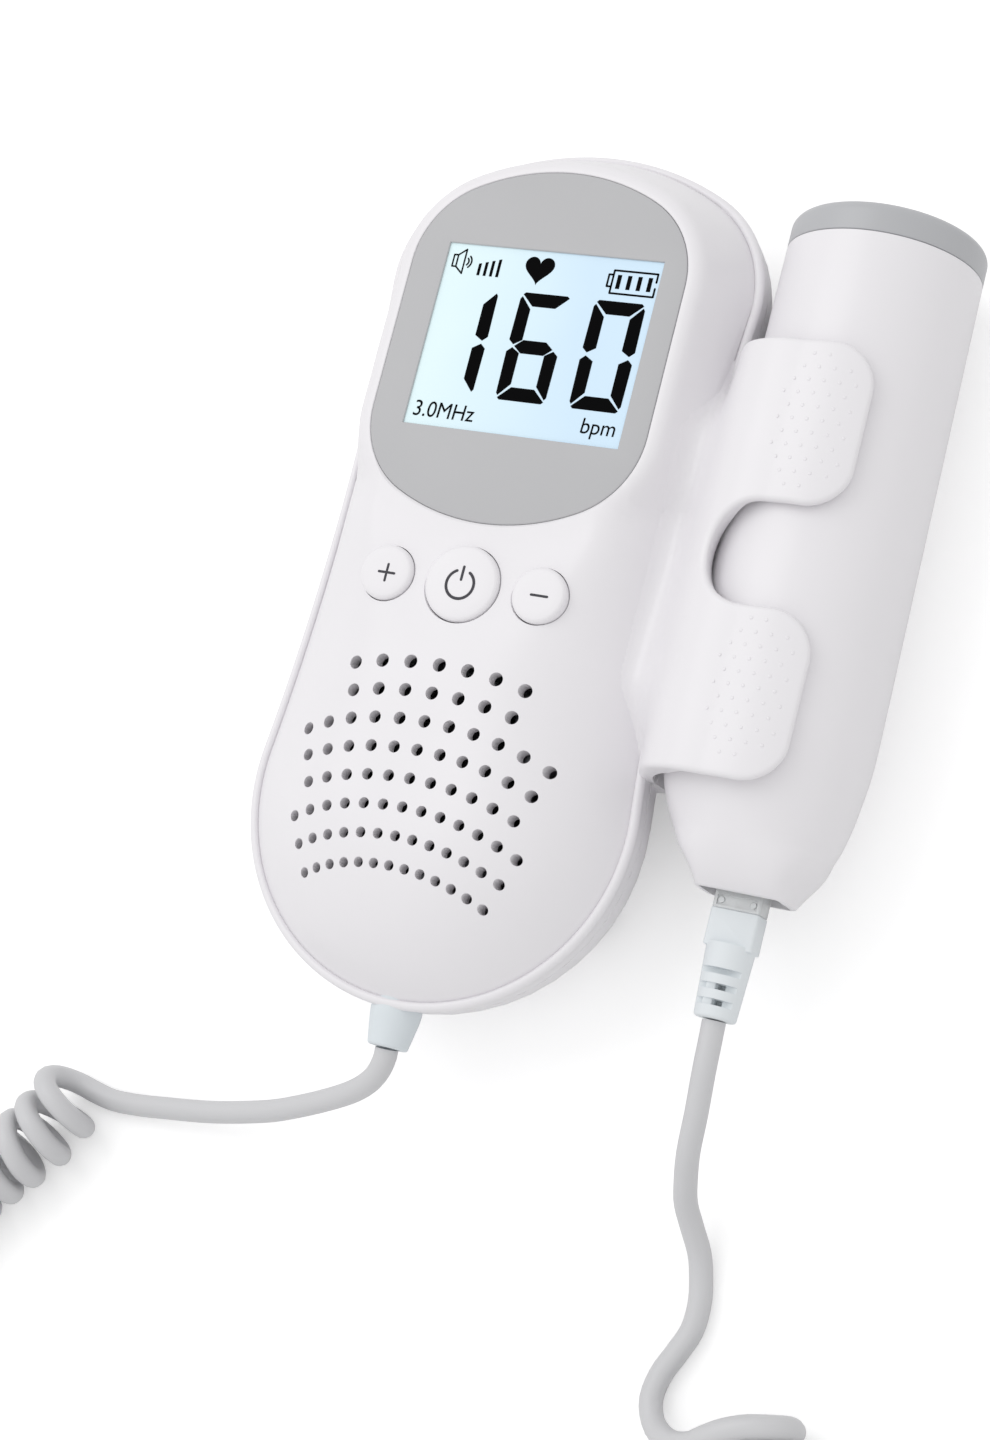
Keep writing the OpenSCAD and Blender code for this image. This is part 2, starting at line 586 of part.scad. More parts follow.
module main_board() color("#2f7a4a") put() difference() {
    translate([-board_w / 2, board_low, board_top - board_t])
        cube([board_w, board_high - board_low, board_t]);
    for (s = board_screw_at) translate([s.x, s.y, board_top - board_t - cut])
        cylinder(r = board_screw_r + fit_gap, h = board_t + 2 * cut, $fn = 24);
}
chip_share = [[0, 0.62, 0.24, 0.13, 0.9], [-0.28, 0.3, 0.12, 0.08, 0.7], [0.3, 0.34, 0.16, 0.08, 0.8],
    [0.26, 0.75, 0.08, 0.11, 1.6], [-0.3, 0.75, 0.1, 0.12, 1.2]];
module board_chips() color("#2b2b2d") put() for (c = chip_share)
    translate([c[0] * board_w - c[2] * board_w / 2, board_low + c[1] * (board_high - board_low)
        - c[3] * board_w / 2, board_top - board_t - c[4] * board_t])
        cube([c[2] * board_w, c[3] * board_w, c[4] * board_t]);
module board_screws() color("#a9abad") put() for (s = board_screw_at)
    translate([s.x, s.y, board_top - board_t - board_screw_r]) {
        cylinder(r = 1.9 * board_screw_r, h = board_screw_r, $fn = 24);
        cylinder(r = board_screw_r, h = board_screw_r + board_t + 0.9 * board_screw_len, $fn = 24);
    }

speaker_y = grille_y - 3.5 * grille_step;
speaker_front = face_z(1 - (speaker_r + bead_w + wall) / tail_r, 0) - 1.15 * wall;
speaker_t = 0.4 * speaker_r;
module speaker_basket() color("#4a4b4e") put() translate([0, speaker_y, speaker_front - speaker_t])
    rotate_extrude($fn = 72) polygon([[0.45 * speaker_r, 0], [0.6 * speaker_r, 0],
        [speaker_r - 1.5 * plate_t, 0.7 * speaker_t], [speaker_r, 0.7 * speaker_t],
        [speaker_r, speaker_t], [speaker_r - 2 * plate_t, speaker_t],
        [speaker_r - 2.5 * plate_t, 0.85 * speaker_t], [0.6 * speaker_r, 0.2 * speaker_t],
        [0.45 * speaker_r, 0.2 * speaker_t]]);
module speaker_cone() color("#242426") put() translate([0, speaker_y, speaker_front])
    rotate_extrude($fn = 72) polygon([[0, -0.35 * speaker_t], [0.3 * speaker_r, -0.45 * speaker_t],
        [0.84 * speaker_r, -0.12 * speaker_t], [0.84 * speaker_r, 0], [0.8 * speaker_r, 0],
        [0.3 * speaker_r, -0.3 * speaker_t], [0, -0.2 * speaker_t]]);
module speaker_magnet() color("#8d8f93") put() translate([0, speaker_y, speaker_front - 1.3 * speaker_t])
    cylinder(r = 0.45 * speaker_r, h = 0.4 * speaker_t, $fn = 48);

module battery_cells() color("#3f6f5a") put() for (s = [-1, 1])
    translate([s * (cell_d + cell_gap) / 2, cell_low, cell_z]) rotate([-90, 0, 0]) {
        cylinder(d = cell_d, h = 0.975 * cell_len, $fn = 48);
        cylinder(d = 0.38 * cell_d, h = cell_len, $fn = 32);
    }
module battery_springs() color("#c7c8ca") put() for (s = [-1, 1])
    translate([s * (cell_d + cell_gap) / 2, bay_low + plate_t, cell_z]) rotate([-90, 0, 0])
        difference() {
            cylinder(r1 = 0.34 * cell_d, r2 = 0.2 * cell_d, h = spring_len, $fn = 32);
            translate([0, 0, -cut]) cylinder(r = 0.12 * cell_d, h = spring_len + 2 * cut, $fn = 24);
        }
module battery_plates() color("#d5d6d8") put() {
    for (s = [-1, 1]) translate([s * (cell_d + cell_gap) / 2 - 0.4 * cell_d, bay_low, cell_z
        - 0.4 * cell_d]) cube([0.8 * cell_d, plate_t, 0.8 * cell_d]);
    translate([-0.9 * cell_d, cell_low + cell_len, cell_z - 0.3 * cell_d])
        cube([1.8 * cell_d, bay_low + bay_len - cell_low - cell_len, 0.6 * cell_d]);
}

module case_screws() color("#9b9da0") put() for (s = case_screw_at)
    translate([s.x, s.y, screw_seat - screw_head_t]) difference() {
        union() {
            cylinder(r = screw_head_r, h = screw_head_t, $fn = 32);
            cylinder(r = screw_r, h = screw_head_t + screw_len, $fn = 24);
        }
        for (a = [0, 90]) rotate(a) translate([-0.6 * screw_head_r, -0.15 * screw_r, -cut])
            cube([1.2 * screw_head_r, 0.3 * screw_r, cut + 0.5 * screw_head_t]);
    }

module cord_gland() color("#dbe0e3") put() translate([0, -tail_r + wall + part_inset + 2 * fit_gap
    + gland_in, gland_z]) rotate([90, 0, 0]) rotate_extrude($fn = 56) {
        base = gland_in + wall + part_inset;
        polygon([[0, 0], [gland_flange, 0], [gland_flange, gland_in], [gland_r, gland_in],
            [gland_r, base], [gland_tip_r + 0.2 * gland_tip_r, base + 0.75 * gland_out], [gland_tip_r,
            base + gland_out - 2 * fit_gap], [0, base + gland_out - 2 * fit_gap]]);
    }
module cord_lead_unit() color("#cfd0d2") put() cord_along(unit_path, 20);
module curly_cord() color("#cfd0d2") put() tube(curl_path, cord_d / 2, curl_sides);
module cord_lead_probe() color("#cfd0d2") put() cord_along(probe_path, 24);

module at_plug(y) translate([plug_x, y, probe_z]) mirror([0, 0, 1]) children();
module plug_body() color("#e4eaec") put() at_plug(plug_back) {
    difference() {
        translate([-plug_w / 2, 0, -plug_t / 2]) cube([plug_w, plug_len, plug_t]);
        for (k = [-1.5 : 1 : 1.5]) translate([k * plug_w / 6 - plug_w / 28, plug_len - plug_t,
            -plug_t / 2 - cut]) cube([plug_w / 14, plug_t + cut, cut + plug_t / 4]);
    }
}
module plug_contacts() color("#d9b65a") put() at_plug(plug_back + plug_len - plug_t)
    for (k = [-1.5 : 1 : 1.5]) translate([k * plug_w / 6 - plug_w / 40, 0, -plug_t / 2])
        cube([plug_w / 20, 0.8 * plug_t, plug_t / 4]);
module plug_latch() color("#e4eaec") put() at_plug(plug_back) rotate([90, 0, 90])
    translate([0, 0, -plug_w / 5]) linear_extrude(0.4 * plug_w) polygon([[plug_len, plug_t / 2],
        [plug_len, plug_t / 2 + 0.12 * plug_t], [0.2 * plug_len, plug_t / 2 + 0.3 * plug_t],
        [-0.1 * plug_len, plug_t / 2 + 0.3 * plug_t], [-0.1 * plug_len, plug_t / 2 + 0.18 * plug_t],
        [0.2 * plug_len, plug_t / 2 + 0.18 * plug_t], [0.8 * plug_len, plug_t / 2]]);
rib_n = 3;
module plug_boot() color("#d6dcdf") put() {
    at_plug(boot_end + boot_len) rotate([90, 0, 0]) linear_extrude(boot_len) polygon([for (c = [[1, 1],
        [-1, 1], [-1, -1], [1, -1]]) let (x = boot_w / 2, y = boot_t / 2, k = c.x * c.y)
        each [[c.x * (x - (k < 0 ? boot_chamfer : 0)), c.y * (y - (k < 0 ? 0 : boot_chamfer))],
        [c.x * (x - (k < 0 ? 0 : boot_chamfer)), c.y * (y - (k < 0 ? boot_chamfer : 0))]]]);
    at_plug(boot_end) rotate([90, 0, 0]) difference() {
        rotate_extrude($fn = 48) polygon([[0, 0], [neck_r, 0], [relief_tip_r, 0.94 * relief_len],
            [0.86 * relief_tip_r, relief_len], [0, relief_len]]);
        for (i = [0 : rib_n - 1]) for (s = [-1, 1])
            translate([0, s * 0.95 * neck_r, relief_len * (0.34 + 0.22 * i)])
            cube([3 * neck_r, 0.8 * neck_r, 0.07 * relief_len], center = true);
    }
}

nose_y = end_y + nose_len;
nose_reach_share = 0.82;
nose_tip_share = [[0.475, 0], [0.485, 0.03], [0.52, 0.065], [0.6, 0.1], [0.68, 0.135]];
function nose_r(s, r) = r * sqrt(1 - pow(s * nose_reach_share, 2));
module probe_plan(r, rt, y0, y1) polygon(concat([[0, y1], [0, y0]], [for (p = nose_tip_share)
    [p[0] * r, y0 + p[1] * (nose_y - y0)]], [for (i = [13 : -1 : 0]) let (s = i / 16)
    [nose_r(s, r), nose_y - s * (nose_y - y0)]], [[rt, y1]]));
module probe_shell() color("#ededef") put() difference() {
    union() {
        translate([probe_x, 0, probe_z]) rotate([-90, 0, 0]) rotate_extrude($fn = 96)
            probe_plan(probe_r, probe_top_r, end_y, end_y + probe_len);
        at_plug(end_y) translate([-socket_w / 2, 0, -socket_t / 2])
            cube([socket_w, 0.24 * nose_len, socket_t]);
    }
    translate([probe_x, 0, probe_z]) rotate([-90, 0, 0]) rotate_extrude($fn = 96)
        polygon(concat([[0, end_y + probe_len + cut], [0, end_y + 0.35 * nose_len]], [for (i = [12 : -1
            : 0]) let (s = i / 16) [nose_r(s, probe_r) - probe_wall, nose_y - s * (nose_y - end_y)]],
            [[probe_top_r - probe_wall, end_y + probe_len + cut]]));
    at_plug(end_y - cut) translate([-socket_in_w / 2, 0, -socket_in_t / 2])
        cube([socket_in_w, 0.5 * nose_len, socket_in_t]);
}
module probe_cap() color("#a9aaad") put() translate([probe_x, end_y + probe_len, probe_z])
    rotate([-90, 0, 0]) {
        rotate_extrude($fn = 96) polygon([[0, 0], [probe_top_r, 0], [probe_top_r, 0.72 * cap_h],
            [probe_top_r - 0.1 * cap_h, 0.88 * cap_h], [probe_top_r - 0.3 * cap_h, 0.97 * cap_h],
            [probe_top_r - 0.6 * cap_h, cap_h], [0, cap_h]]);
        translate([0, 0, -probe_wall]) cylinder(r = probe_top_r - probe_wall - fit_gap,
            h = probe_wall, $fn = 96);
    }
disc_r = probe_top_r - 2.2 * probe_wall;
disc_t = 0.7;
disc_top = end_y + probe_len - probe_wall;
module transducer_discs() color("#c8b37a") put() translate([probe_x, disc_top - disc_t, probe_z])
    rotate([-90, 0, 0]) for (s = [0, 180]) rotate(s) intersection() {
        cylinder(r = disc_r, h = disc_t, $fn = 64);
        translate([disc_t / 2, -2 * disc_r, -cut]) cube([4 * disc_r, 4 * disc_r, 2 * cut + disc_t]);
    }
backing_t = 6;
module acoustic_backing() color("#5d5f63") put() translate([probe_x, disc_top - disc_t - backing_t,
    probe_z]) rotate([-90, 0, 0]) cylinder(r = probe_top_r - probe_wall - fit_gap, h = backing_t, $fn = 64);
probe_board_w = 22;
probe_board_low = end_y + 0.52 * nose_len;
probe_board_high = disc_top - disc_t - backing_t;
module probe_board() color("#2f7a4a") put() translate([probe_x - probe_board_w / 2, probe_board_low,
    probe_z - board_t / 2]) {
        cube([probe_board_w, probe_board_high - probe_board_low, board_t]);
        translate([0.3 * probe_board_w, 0.4 * probe_board_w, board_t])
            cube([0.4 * probe_board_w, 0.5 * probe_board_w, board_t]);
    }
module probe_socket() color("#c9ccce") put() at_plug(end_y + 0.6 * probe_wall) difference() {
    translate([-socket_in_w / 2 + fit_gap, 0, -socket_in_t / 2 + fit_gap])
        cube([socket_in_w - 2 * fit_gap, 0.5 * nose_len - cut - 0.6 * probe_wall,
            socket_in_t - 2 * fit_gap]);
    translate([-plug_w / 2 - fit_gap, -cut, -plug_t / 2 - fit_gap])
        cube([plug_w + 2 * fit_gap, plug_len - plug_show + cut, plug_t + 2 * fit_gap]);
    translate([-plug_w / 4, -cut, 0]) cube([plug_w / 2, plug_len - plug_show + cut, socket_in_t / 2
        - 2 * fit_gap]);
}
module socket_contacts() color("#d9b65a") put() at_plug(end_y + 0.5 * nose_len - cut)
    for (k = [-1.5 : 1 : 1.5]) translate([k * plug_w / 6 - plug_w / 40, 0, -plug_t / 4])
        cube([plug_w / 20, probe_board_low - end_y - 0.5 * nose_len + cut, plug_t / 12]);

front_shell();
rear_shell();
battery_cover();
display_bezel();
lcd_panel();
lcd_backlight();
lcd_frame();
plus_key();
power_key();
minus_key();
key_mat();
main_board();
board_chips();
board_screws();
speaker_basket();
speaker_cone();
speaker_magnet();
battery_cells();
battery_springs();
battery_plates();
case_screws();
cord_gland();
cord_lead_unit();
curly_cord();
cord_lead_probe();
plug_body();
plug_contacts();
plug_latch();
plug_boot();
probe_shell();
probe_cap();
transducer_discs();
acoustic_backing();
probe_board();
probe_socket();
socket_contacts();
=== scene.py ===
import math

import bmesh
import bpy
import numpy as np
from mathutils import Matrix, Vector
from mathutils.geometry import delaunay_2d_cdt


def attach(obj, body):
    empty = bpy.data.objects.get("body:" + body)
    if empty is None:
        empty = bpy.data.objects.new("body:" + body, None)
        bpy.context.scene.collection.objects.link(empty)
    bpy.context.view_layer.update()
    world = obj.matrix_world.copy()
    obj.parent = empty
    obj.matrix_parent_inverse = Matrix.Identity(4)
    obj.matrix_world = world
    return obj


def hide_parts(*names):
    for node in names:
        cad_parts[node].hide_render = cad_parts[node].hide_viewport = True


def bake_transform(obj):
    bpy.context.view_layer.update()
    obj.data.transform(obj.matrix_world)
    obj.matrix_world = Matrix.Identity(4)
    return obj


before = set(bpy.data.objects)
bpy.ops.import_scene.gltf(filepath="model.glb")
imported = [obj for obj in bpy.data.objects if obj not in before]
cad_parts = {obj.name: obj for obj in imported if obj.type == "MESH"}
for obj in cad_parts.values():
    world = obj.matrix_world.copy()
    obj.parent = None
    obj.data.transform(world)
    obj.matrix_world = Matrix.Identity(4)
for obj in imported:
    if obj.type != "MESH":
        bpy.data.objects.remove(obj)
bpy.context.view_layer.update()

# Camera
# It looks down on the unit from the right and from the side of its tail, as in the photograph.
# Its place, turn and lens were fitted to the outlines of the main unit and the probe.
def set_down(name, data):
    """A new object at the origin of the scene."""
    made = bpy.data.objects.new(name, data)
    bpy.context.scene.collection.objects.link(made)
    return made


camera = set_down("camera", bpy.data.cameras.new("camera"))
camera.data.sensor_width = 36
camera.data.lens = 65.4
camera.matrix_world = Matrix((
    (0.8994, -0.1593, 0.4071, 0.15711),
    (0.2444, 0.9554, -0.1660, -0.09241),
    (-0.3625, 0.2488, 0.8982, 0.39235),
    (0, 0, 0, 1)))
bpy.context.scene.camera = camera

# Cord
# One grey cord from the gland to the plug: a plain lead at each end and a stretch of curls
# between, wound from the same 3.7 mm sheath. The camera sees the leads and the first curls.
def from_unit(points):
    """Millimetres from the middle of the tail arc, on the table, to metres in the record's frame."""
    return (np.asarray(points, float) + (-16.15, -38.45, 0)) / 1000


def through(points, steps):
    """A smooth line through the points, with so many steps from each point to the next."""
    p = np.asarray(points, float)
    n = len(p) - 1
    line = []
    for u in np.arange(n * steps + 1) / steps:
        i = min(int(u), n - 1)
        t = u - i
        a, b, c, d = p[max(i - 1, 0)], p[i], p[i + 1], p[min(i + 2, n)]
        line.append(0.5 * (2 * b + (c - a) * t + (2 * a - 5 * b + 4 * c - d) * t * t
                           + (3 * b - a - 3 * c + d) * t ** 3))
    return np.array(line)


def even(line, step):
    """The same line with points an even step apart."""
    run = np.r_[0, np.cumsum(np.linalg.norm(np.diff(line, axis=0), axis=1))]
    at = np.linspace(0, run[-1], max(2, round(run[-1] / step) + 1))
    return np.stack([np.interp(at, run, line[:, k]) for k in range(line.shape[1])], 1)


cord_d = 3.7
curls, turn_steps = 63.5, 24
curl_r, curl_z = 5.05, 6.9
pull, pull_turns = 2.3, 2
unit_lead = [(0, -39.3, 18.9), (-0.2, -41.4, 18.5), (-1.8, -44.1, 17.1), (-5.2, -46.6, 15.1),
             (-10.6, -49.1, 13), (-17.6, -51.7, 10.6), (-23.5, -53.4, 8.6), (-33.8, -55.5, 5.9),
             (-44.5, -56.9, 3.6), (-50, -57.5, 2.7), (-55, -57.7, 2.1)]
curl_middle = [(-59.5, -57), (-64, -66), (-71, -74), (-78.5, -83.5), (-83.5, -95), (-85.5, -109),
               (-84, -124), (-78, -138), (-67.5, -150), (-53.5, -158.5), (-37, -163.5), (-18, -166),
               (2, -166), (21, -163.5), (38.5, -158), (54, -149), (66, -136.5), (73, -121.5),
               (75, -106.5), (73, -92.5), (68, -80)]
probe_lead = [(50.8, -24.1, 18.4), (50.9, -27.5, 18.3), (50.9, -31.7, 17.9), (50.6, -38, 15.9),
              (49.9, -43.6, 13.2), (49.6, -47.7, 10.4), (49.6, -51, 7.8), (50.6, -54.2, 5.3),
              (52, -57.8, 3), (52.8, -61.2, 2), (53.5, -65, 1.9), (53.3, -69.2, 1.9),
              (51.8, -73, 1.9), (50.1, -76.8, 1.9), (49.6, -80.8, 2.2), (51.5, -84.2, 3.6),
              (55.2, -85.6, 6.2), (59, -84.9, 9.2), (61.8, -83.2, 11.3)]
middle = through(curl_middle, 10)
middle_run = np.r_[0, np.cumsum(np.linalg.norm(np.diff(middle, axis=0), axis=1))]
turn = np.arange(curls * turn_steps + 1) / turn_steps
# The first curls are pulled a little open by the unit's lead.
along = (middle_run[-1] - pull) * turn / curls + pull * (1 - np.exp(-turn / pull_turns))
centre = np.stack([np.interp(along, middle_run, middle[:, k]) for k in (0, 1)], 1)
heading = np.gradient(centre, axis=0)
heading /= np.linalg.norm(heading, axis=1)[:, None]
side = np.stack([heading[:, 1], -heading[:, 0], np.zeros(len(turn))], 1)
phase = 2 * math.pi * turn
coil = (np.c_[centre, np.full(len(turn), curl_z)] + curl_r * (np.sin(phase)[:, None] * side
        - np.cos(phase)[:, None] * np.array((0, 0, 1))))
curl_out = coil[-1] - cord_d * side[-1]
point_gap, steps = 1.2, 12
first_lead = even(through(unit_lead + [coil[0], coil[3]], steps)[:-steps], point_gap)
last_lead = even(through(probe_lead + [curl_out, coil[-1], coil[-4]], steps)[:-steps], point_gap)
cord_line = from_unit(np.vstack([first_lead, coil[1:-1], last_lead[::-1]]))


def node_tree(name, *inputs):
    """A Geometry Nodes tree from mesh to mesh, with float inputs and a finish; and what it takes."""
    tree = bpy.data.node_groups.new(name, "GeometryNodeTree")
    for label, kind in (("Geometry", "Geometry"), *[(label, "Float") for label in inputs],
                        ("Finish", "Material")):
        tree.interface.new_socket(label, in_out="INPUT", socket_type="NodeSocket" + kind)
    tree.interface.new_socket("Geometry", in_out="OUTPUT", socket_type="NodeSocketGeometry")
    return tree, tree.nodes.new("NodeGroupInput").outputs


def wire(tree, kind, settings=None, *values, **links):
    """Adds a node, with its settings, and feeds its sockets: in turn, or by name with _ for a space."""
    node = tree.nodes.new(kind)
    for key, value in (settings or {}).items():
        setattr(node, key, value)
    sockets = list(node.inputs)[:len(values)]
    for key in links:
        label = key.replace("_", " ")
        sockets.append(next(s for s in node.inputs if s.name == label and s.enabled))
    for socket, value in zip(sockets, [*values, *links.values()]):
        if isinstance(value, bpy.types.NodeSocket):
            tree.links.new(value, socket)
        else:
            socket.default_value = value
    return node


def applied(piece):
    """The piece's mesh with its modifiers applied."""
    graph = bpy.context.evaluated_depsgraph_get()
    return bpy.data.meshes.new_from_object(piece.evaluated_get(graph), depsgraph=graph)


def run_tree(source, tree, values, name):
    """Applies the tree to the source object and gives its result as a plain new object."""
    modifier = source.modifiers.new(tree.name, "NODES")
    modifier.node_group = tree
    for item in tree.interface.items_tree:
        if item.in_out == "INPUT" and item.name in values:
            modifier[item.identifier] = values[item.name]
    source.update_tag()
    mesh = applied(source)
    source.modifiers.remove(modifier)
    bpy.data.objects.remove(source)
    mesh.name = name
    return set_down(name, mesh)


def end_tree(tree, geometry, finish):
    """Ends a tree: its instances made real, shaded smoothly and given the finish."""
    real = wire(tree, "GeometryNodeRealizeInstances", Geometry=geometry)
    soft = wire(tree, "GeometryNodeSetShadeSmooth", Geometry=real.outputs[0], Shade_Smooth=True)
    done = wire(tree, "GeometryNodeSetMaterial", Geometry=soft.outputs[0], Material=finish)
    wire(tree, "NodeGroupOutput", Geometry=done.outputs[0])


sheath_tree, takes = node_tree("cord sheath", "Radius")
path = wire(sheath_tree, "GeometryNodeMeshToCurve", Mesh=takes["Geometry"])
ring = wire(sheath_tree, "GeometryNodeCurvePrimitiveCircle", Resolution=16, Radius=takes["Radius"])
swept = wire(sheath_tree, "GeometryNodeCurveToMesh", Curve=path.outputs[0],
             Profile_Curve=ring.outputs[0], Fill_Caps=True)
end_tree(sheath_tree, swept.outputs[0], takes["Finish"])


def skin_group():
    """The uneven skin of a moulded piece: a cloudy tint, an uneven gloss and a fine grain."""
    group = bpy.data.node_groups.new("moulded skin", "ShaderNodeTree")
    for label, kind in (("Colour", "Color"), ("Tint", "Float"), ("Gloss", "Float"),
                        ("Gloss spread", "Float"), ("Grain", "Float"), ("Cloud", "Float")):
        group.interface.new_socket(label, in_out="INPUT", socket_type="NodeSocket" + kind)
    for label, kind in (("Colour", "Color"), ("Roughness", "Float"), ("Height", "Float")):
        group.interface.new_socket(label, in_out="OUTPUT", socket_type="NodeSocket" + kind)
    takes = group.nodes.new("NodeGroupInput").outputs
    place = group.nodes.new("ShaderNodeTexCoord").outputs["Object"]
    cloud, grain = [wire(group, "ShaderNodeTexNoise", Vector=place, Scale=takes[label],
                         Detail=detail).outputs["Fac"]
                    for label, detail in (("Cloud", 3.0), ("Grain", 2.0))]
    shade = wire(group, "ShaderNodeMath", {"operation": "MULTIPLY_ADD"}, cloud, takes["Tint"], 1.0)
    toned = wire(group, "ShaderNodeVectorMath", {"operation": "SCALE"}, takes["Colour"],
                 Scale=shade.outputs[0])
    mixed = wire(group, "ShaderNodeMath", {"operation": "ADD"}, cloud, grain)
    lows, highs = [wire(group, "ShaderNodeMath", {"operation": kind}, takes["Gloss"],
                        takes["Gloss spread"]) for kind in ("SUBTRACT", "ADD")]
    gloss = wire(group, "ShaderNodeMapRange", Value=mixed.outputs[0], From_Min=0.6, From_Max=1.4,
                 To_Min=lows.outputs[0], To_Max=highs.outputs[0])
    wire(group, "NodeGroupOutput", Colour=toned.outputs[0], Roughness=gloss.outputs[0], Height=grain)
    return group


moulded_skin = skin_group()


def linear(r, g, b):
    """A colour read from a screen, 0 to 255, as the shader's own linear colour."""
    return tuple((c / 255 / 12.92) if c < 11 else ((c / 255 + 0.055) / 1.055) ** 2.4
                 for c in (r, g, b)) + (1,)


def finish_of(name, **values):
    """A new material with its node tree and its Principled shader, which takes the plain values."""
    finish = bpy.data.materials.new(name)
    finish.use_nodes = True
    bsdf = finish.node_tree.nodes["Principled BSDF"]
    for key, value in values.items():
        bsdf.inputs[key.replace("_", " ")].default_value = value
    return finish, finish.node_tree, bsdf


def moulded(name, colour, gloss, spread=0.04, tint=-0.03, grain=5000, cloud=60, depth=0.006, **values):
    """A moulded finish: the skin group feeds the shader's colour, roughness and bump."""
    finish, tree, bsdf = finish_of(name, **values)
    skin = tree.nodes.new("ShaderNodeGroup")
    skin.node_tree = moulded_skin
    for label, value in (("Colour", colour), ("Tint", tint), ("Gloss", gloss),
                         ("Gloss spread", spread), ("Grain", grain), ("Cloud", cloud)):
        skin.inputs[label].default_value = value
    bump = wire(tree, "ShaderNodeBump", Strength=0.35, Distance=depth / 1000,
                Height=skin.outputs["Height"])
    tree.links.new(skin.outputs["Colour"], bsdf.inputs["Base Color"])
    tree.links.new(skin.outputs["Roughness"], bsdf.inputs["Roughness"])
    tree.links.new(bump.outputs["Normal"], bsdf.inputs["Normal"])
    finish.diffuse_color = colour
    return finish


cord_finish = moulded("cord sheath", linear(208, 208, 210), 0.42, grain=2600, depth=0.012,
                      Coat_Weight=0.1, Coat_Roughness=0.3)


def mesh_piece(name, points, edges, faces):
    """An object from points in metres, with its edges and faces."""
    mesh = bpy.data.meshes.new(name)
    mesh.from_pydata([tuple(p) for p in points], edges, faces)
    return set_down(name, mesh)


def outward(piece):
    """Merges doubles and turns every face of a closed mesh outwards."""
    shape = bmesh.new()
    shape.from_mesh(piece.data)
    bmesh.ops.remove_doubles(shape, verts=shape.verts, dist=1e-7)
    bmesh.ops.recalc_face_normals(shape, faces=shape.faces)
    shape.to_mesh(piece.data)
    shape.free()
    piece.data.update()


path = mesh_piece("cord line", cord_line, [(i, i + 1) for i in range(len(cord_line) - 1)], [])
cord = run_tree(path, sheath_tree, {"Radius": cord_d / 2000, "Finish": cord_finish}, "cord")
outward(cord)
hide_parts("cord_lead_unit", "curly_cord", "cord_lead_probe")
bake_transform(cord)

# Floor and light
# A white table under soft daylight, with one large lamp at the upper left. The camera and gloss
# see a white room; every other ray meets a pale grey one, paler from above and from the left.
def corners(x, y, wide, tall):
    """The corners of a rectangle round x, y, counter-clockwise."""
    return [(x + i * wide / 2, y + j * tall / 2) for i, j in ((-1, -1), (1, -1), (1, 1), (-1, 1))]


floor_size = 12
floor = mesh_piece("floor", [(x, y, 0) for x, y in corners(0, 0, floor_size, floor_size)], [],
                   [(0, 1, 2, 3)])
floor_finish, ground, table = finish_of("floor", Base_Color=(0.9, 0.9, 0.9, 1), Roughness=0.9,
                                        Specular_IOR_Level=0.1, Emission_Color=(1, 1, 1, 1))
rays = ground.nodes.new("ShaderNodeLightPath")
lift = wire(ground, "ShaderNodeMath", {"operation": "MULTIPLY"}, rays.outputs["Is Camera Ray"], 0.3)
ground.links.new(lift.outputs[0], table.inputs["Emission Strength"])
floor.data.materials.append(floor_finish)

world = bpy.data.worlds.new("room")
bpy.context.scene.world = world
world.use_nodes = True
room = world.node_tree
rays = room.nodes.new("ShaderNodeLightPath")
seen = rays.outputs["Is Camera Ray"]
for kind in ("Glossy", "Transmission"):
    seen = wire(room, "ShaderNodeMath", {"operation": "MAXIMUM"}, seen,
                rays.outputs["Is %s Ray" % kind]).outputs[0]
direction = room.nodes.new("ShaderNodeTexCoord").outputs["Generated"]
facing = wire(room, "ShaderNodeVectorMath", {"operation": "DOT_PRODUCT"}, direction, (-0.6, 0, 0.8))
daylight = wire(room, "ShaderNodeMapRange", Value=facing.outputs["Value"], From_Min=-1.0,
                From_Max=1.0, To_Min=0.62, To_Max=0.93)
strength = wire(room, "ShaderNodeMapRange", Value=seen, To_Min=daylight.outputs[0], To_Max=1.0)
room.links.new(strength.outputs[0], room.nodes["Background"].inputs["Strength"])
room.nodes["Background"].inputs["Color"].default_value = (1, 1, 1, 1)

lamp = set_down("lamp", bpy.data.lights.new("lamp", "AREA"))
lamp.data.shape = "DISK"
lamp.data.size = 0.9
lamp.data.energy = 2.3
lamp.location = (-0.55, 0.35, 1.0)
lamp.rotation_euler = (-lamp.location).to_track_quat("-Z", "Y").to_euler()

bpy.context.scene.view_settings.view_transform = "Standard"

# Front shell
# One white moulding with a 2 mm wall: a round face over the loudspeaker, a shoulder round the
# display, a bead along its rim, and drilled with the grille, the key holes and the display seat.
def bend(cx, cy, r, a0, a1, count):
    """So many points on an arc, in degrees, with both of its ends."""
    a = np.radians(np.linspace(a0, a1, count))
    return np.stack([cx + r * np.cos(a), cy + r * np.sin(a)], 1)


def arc(cx, cy, r, a0, a1, steps):
    """Points on an arc, in degrees, without its last one."""
    return bend(cx, cy, r, a0, a1, steps + 1)[:-1]


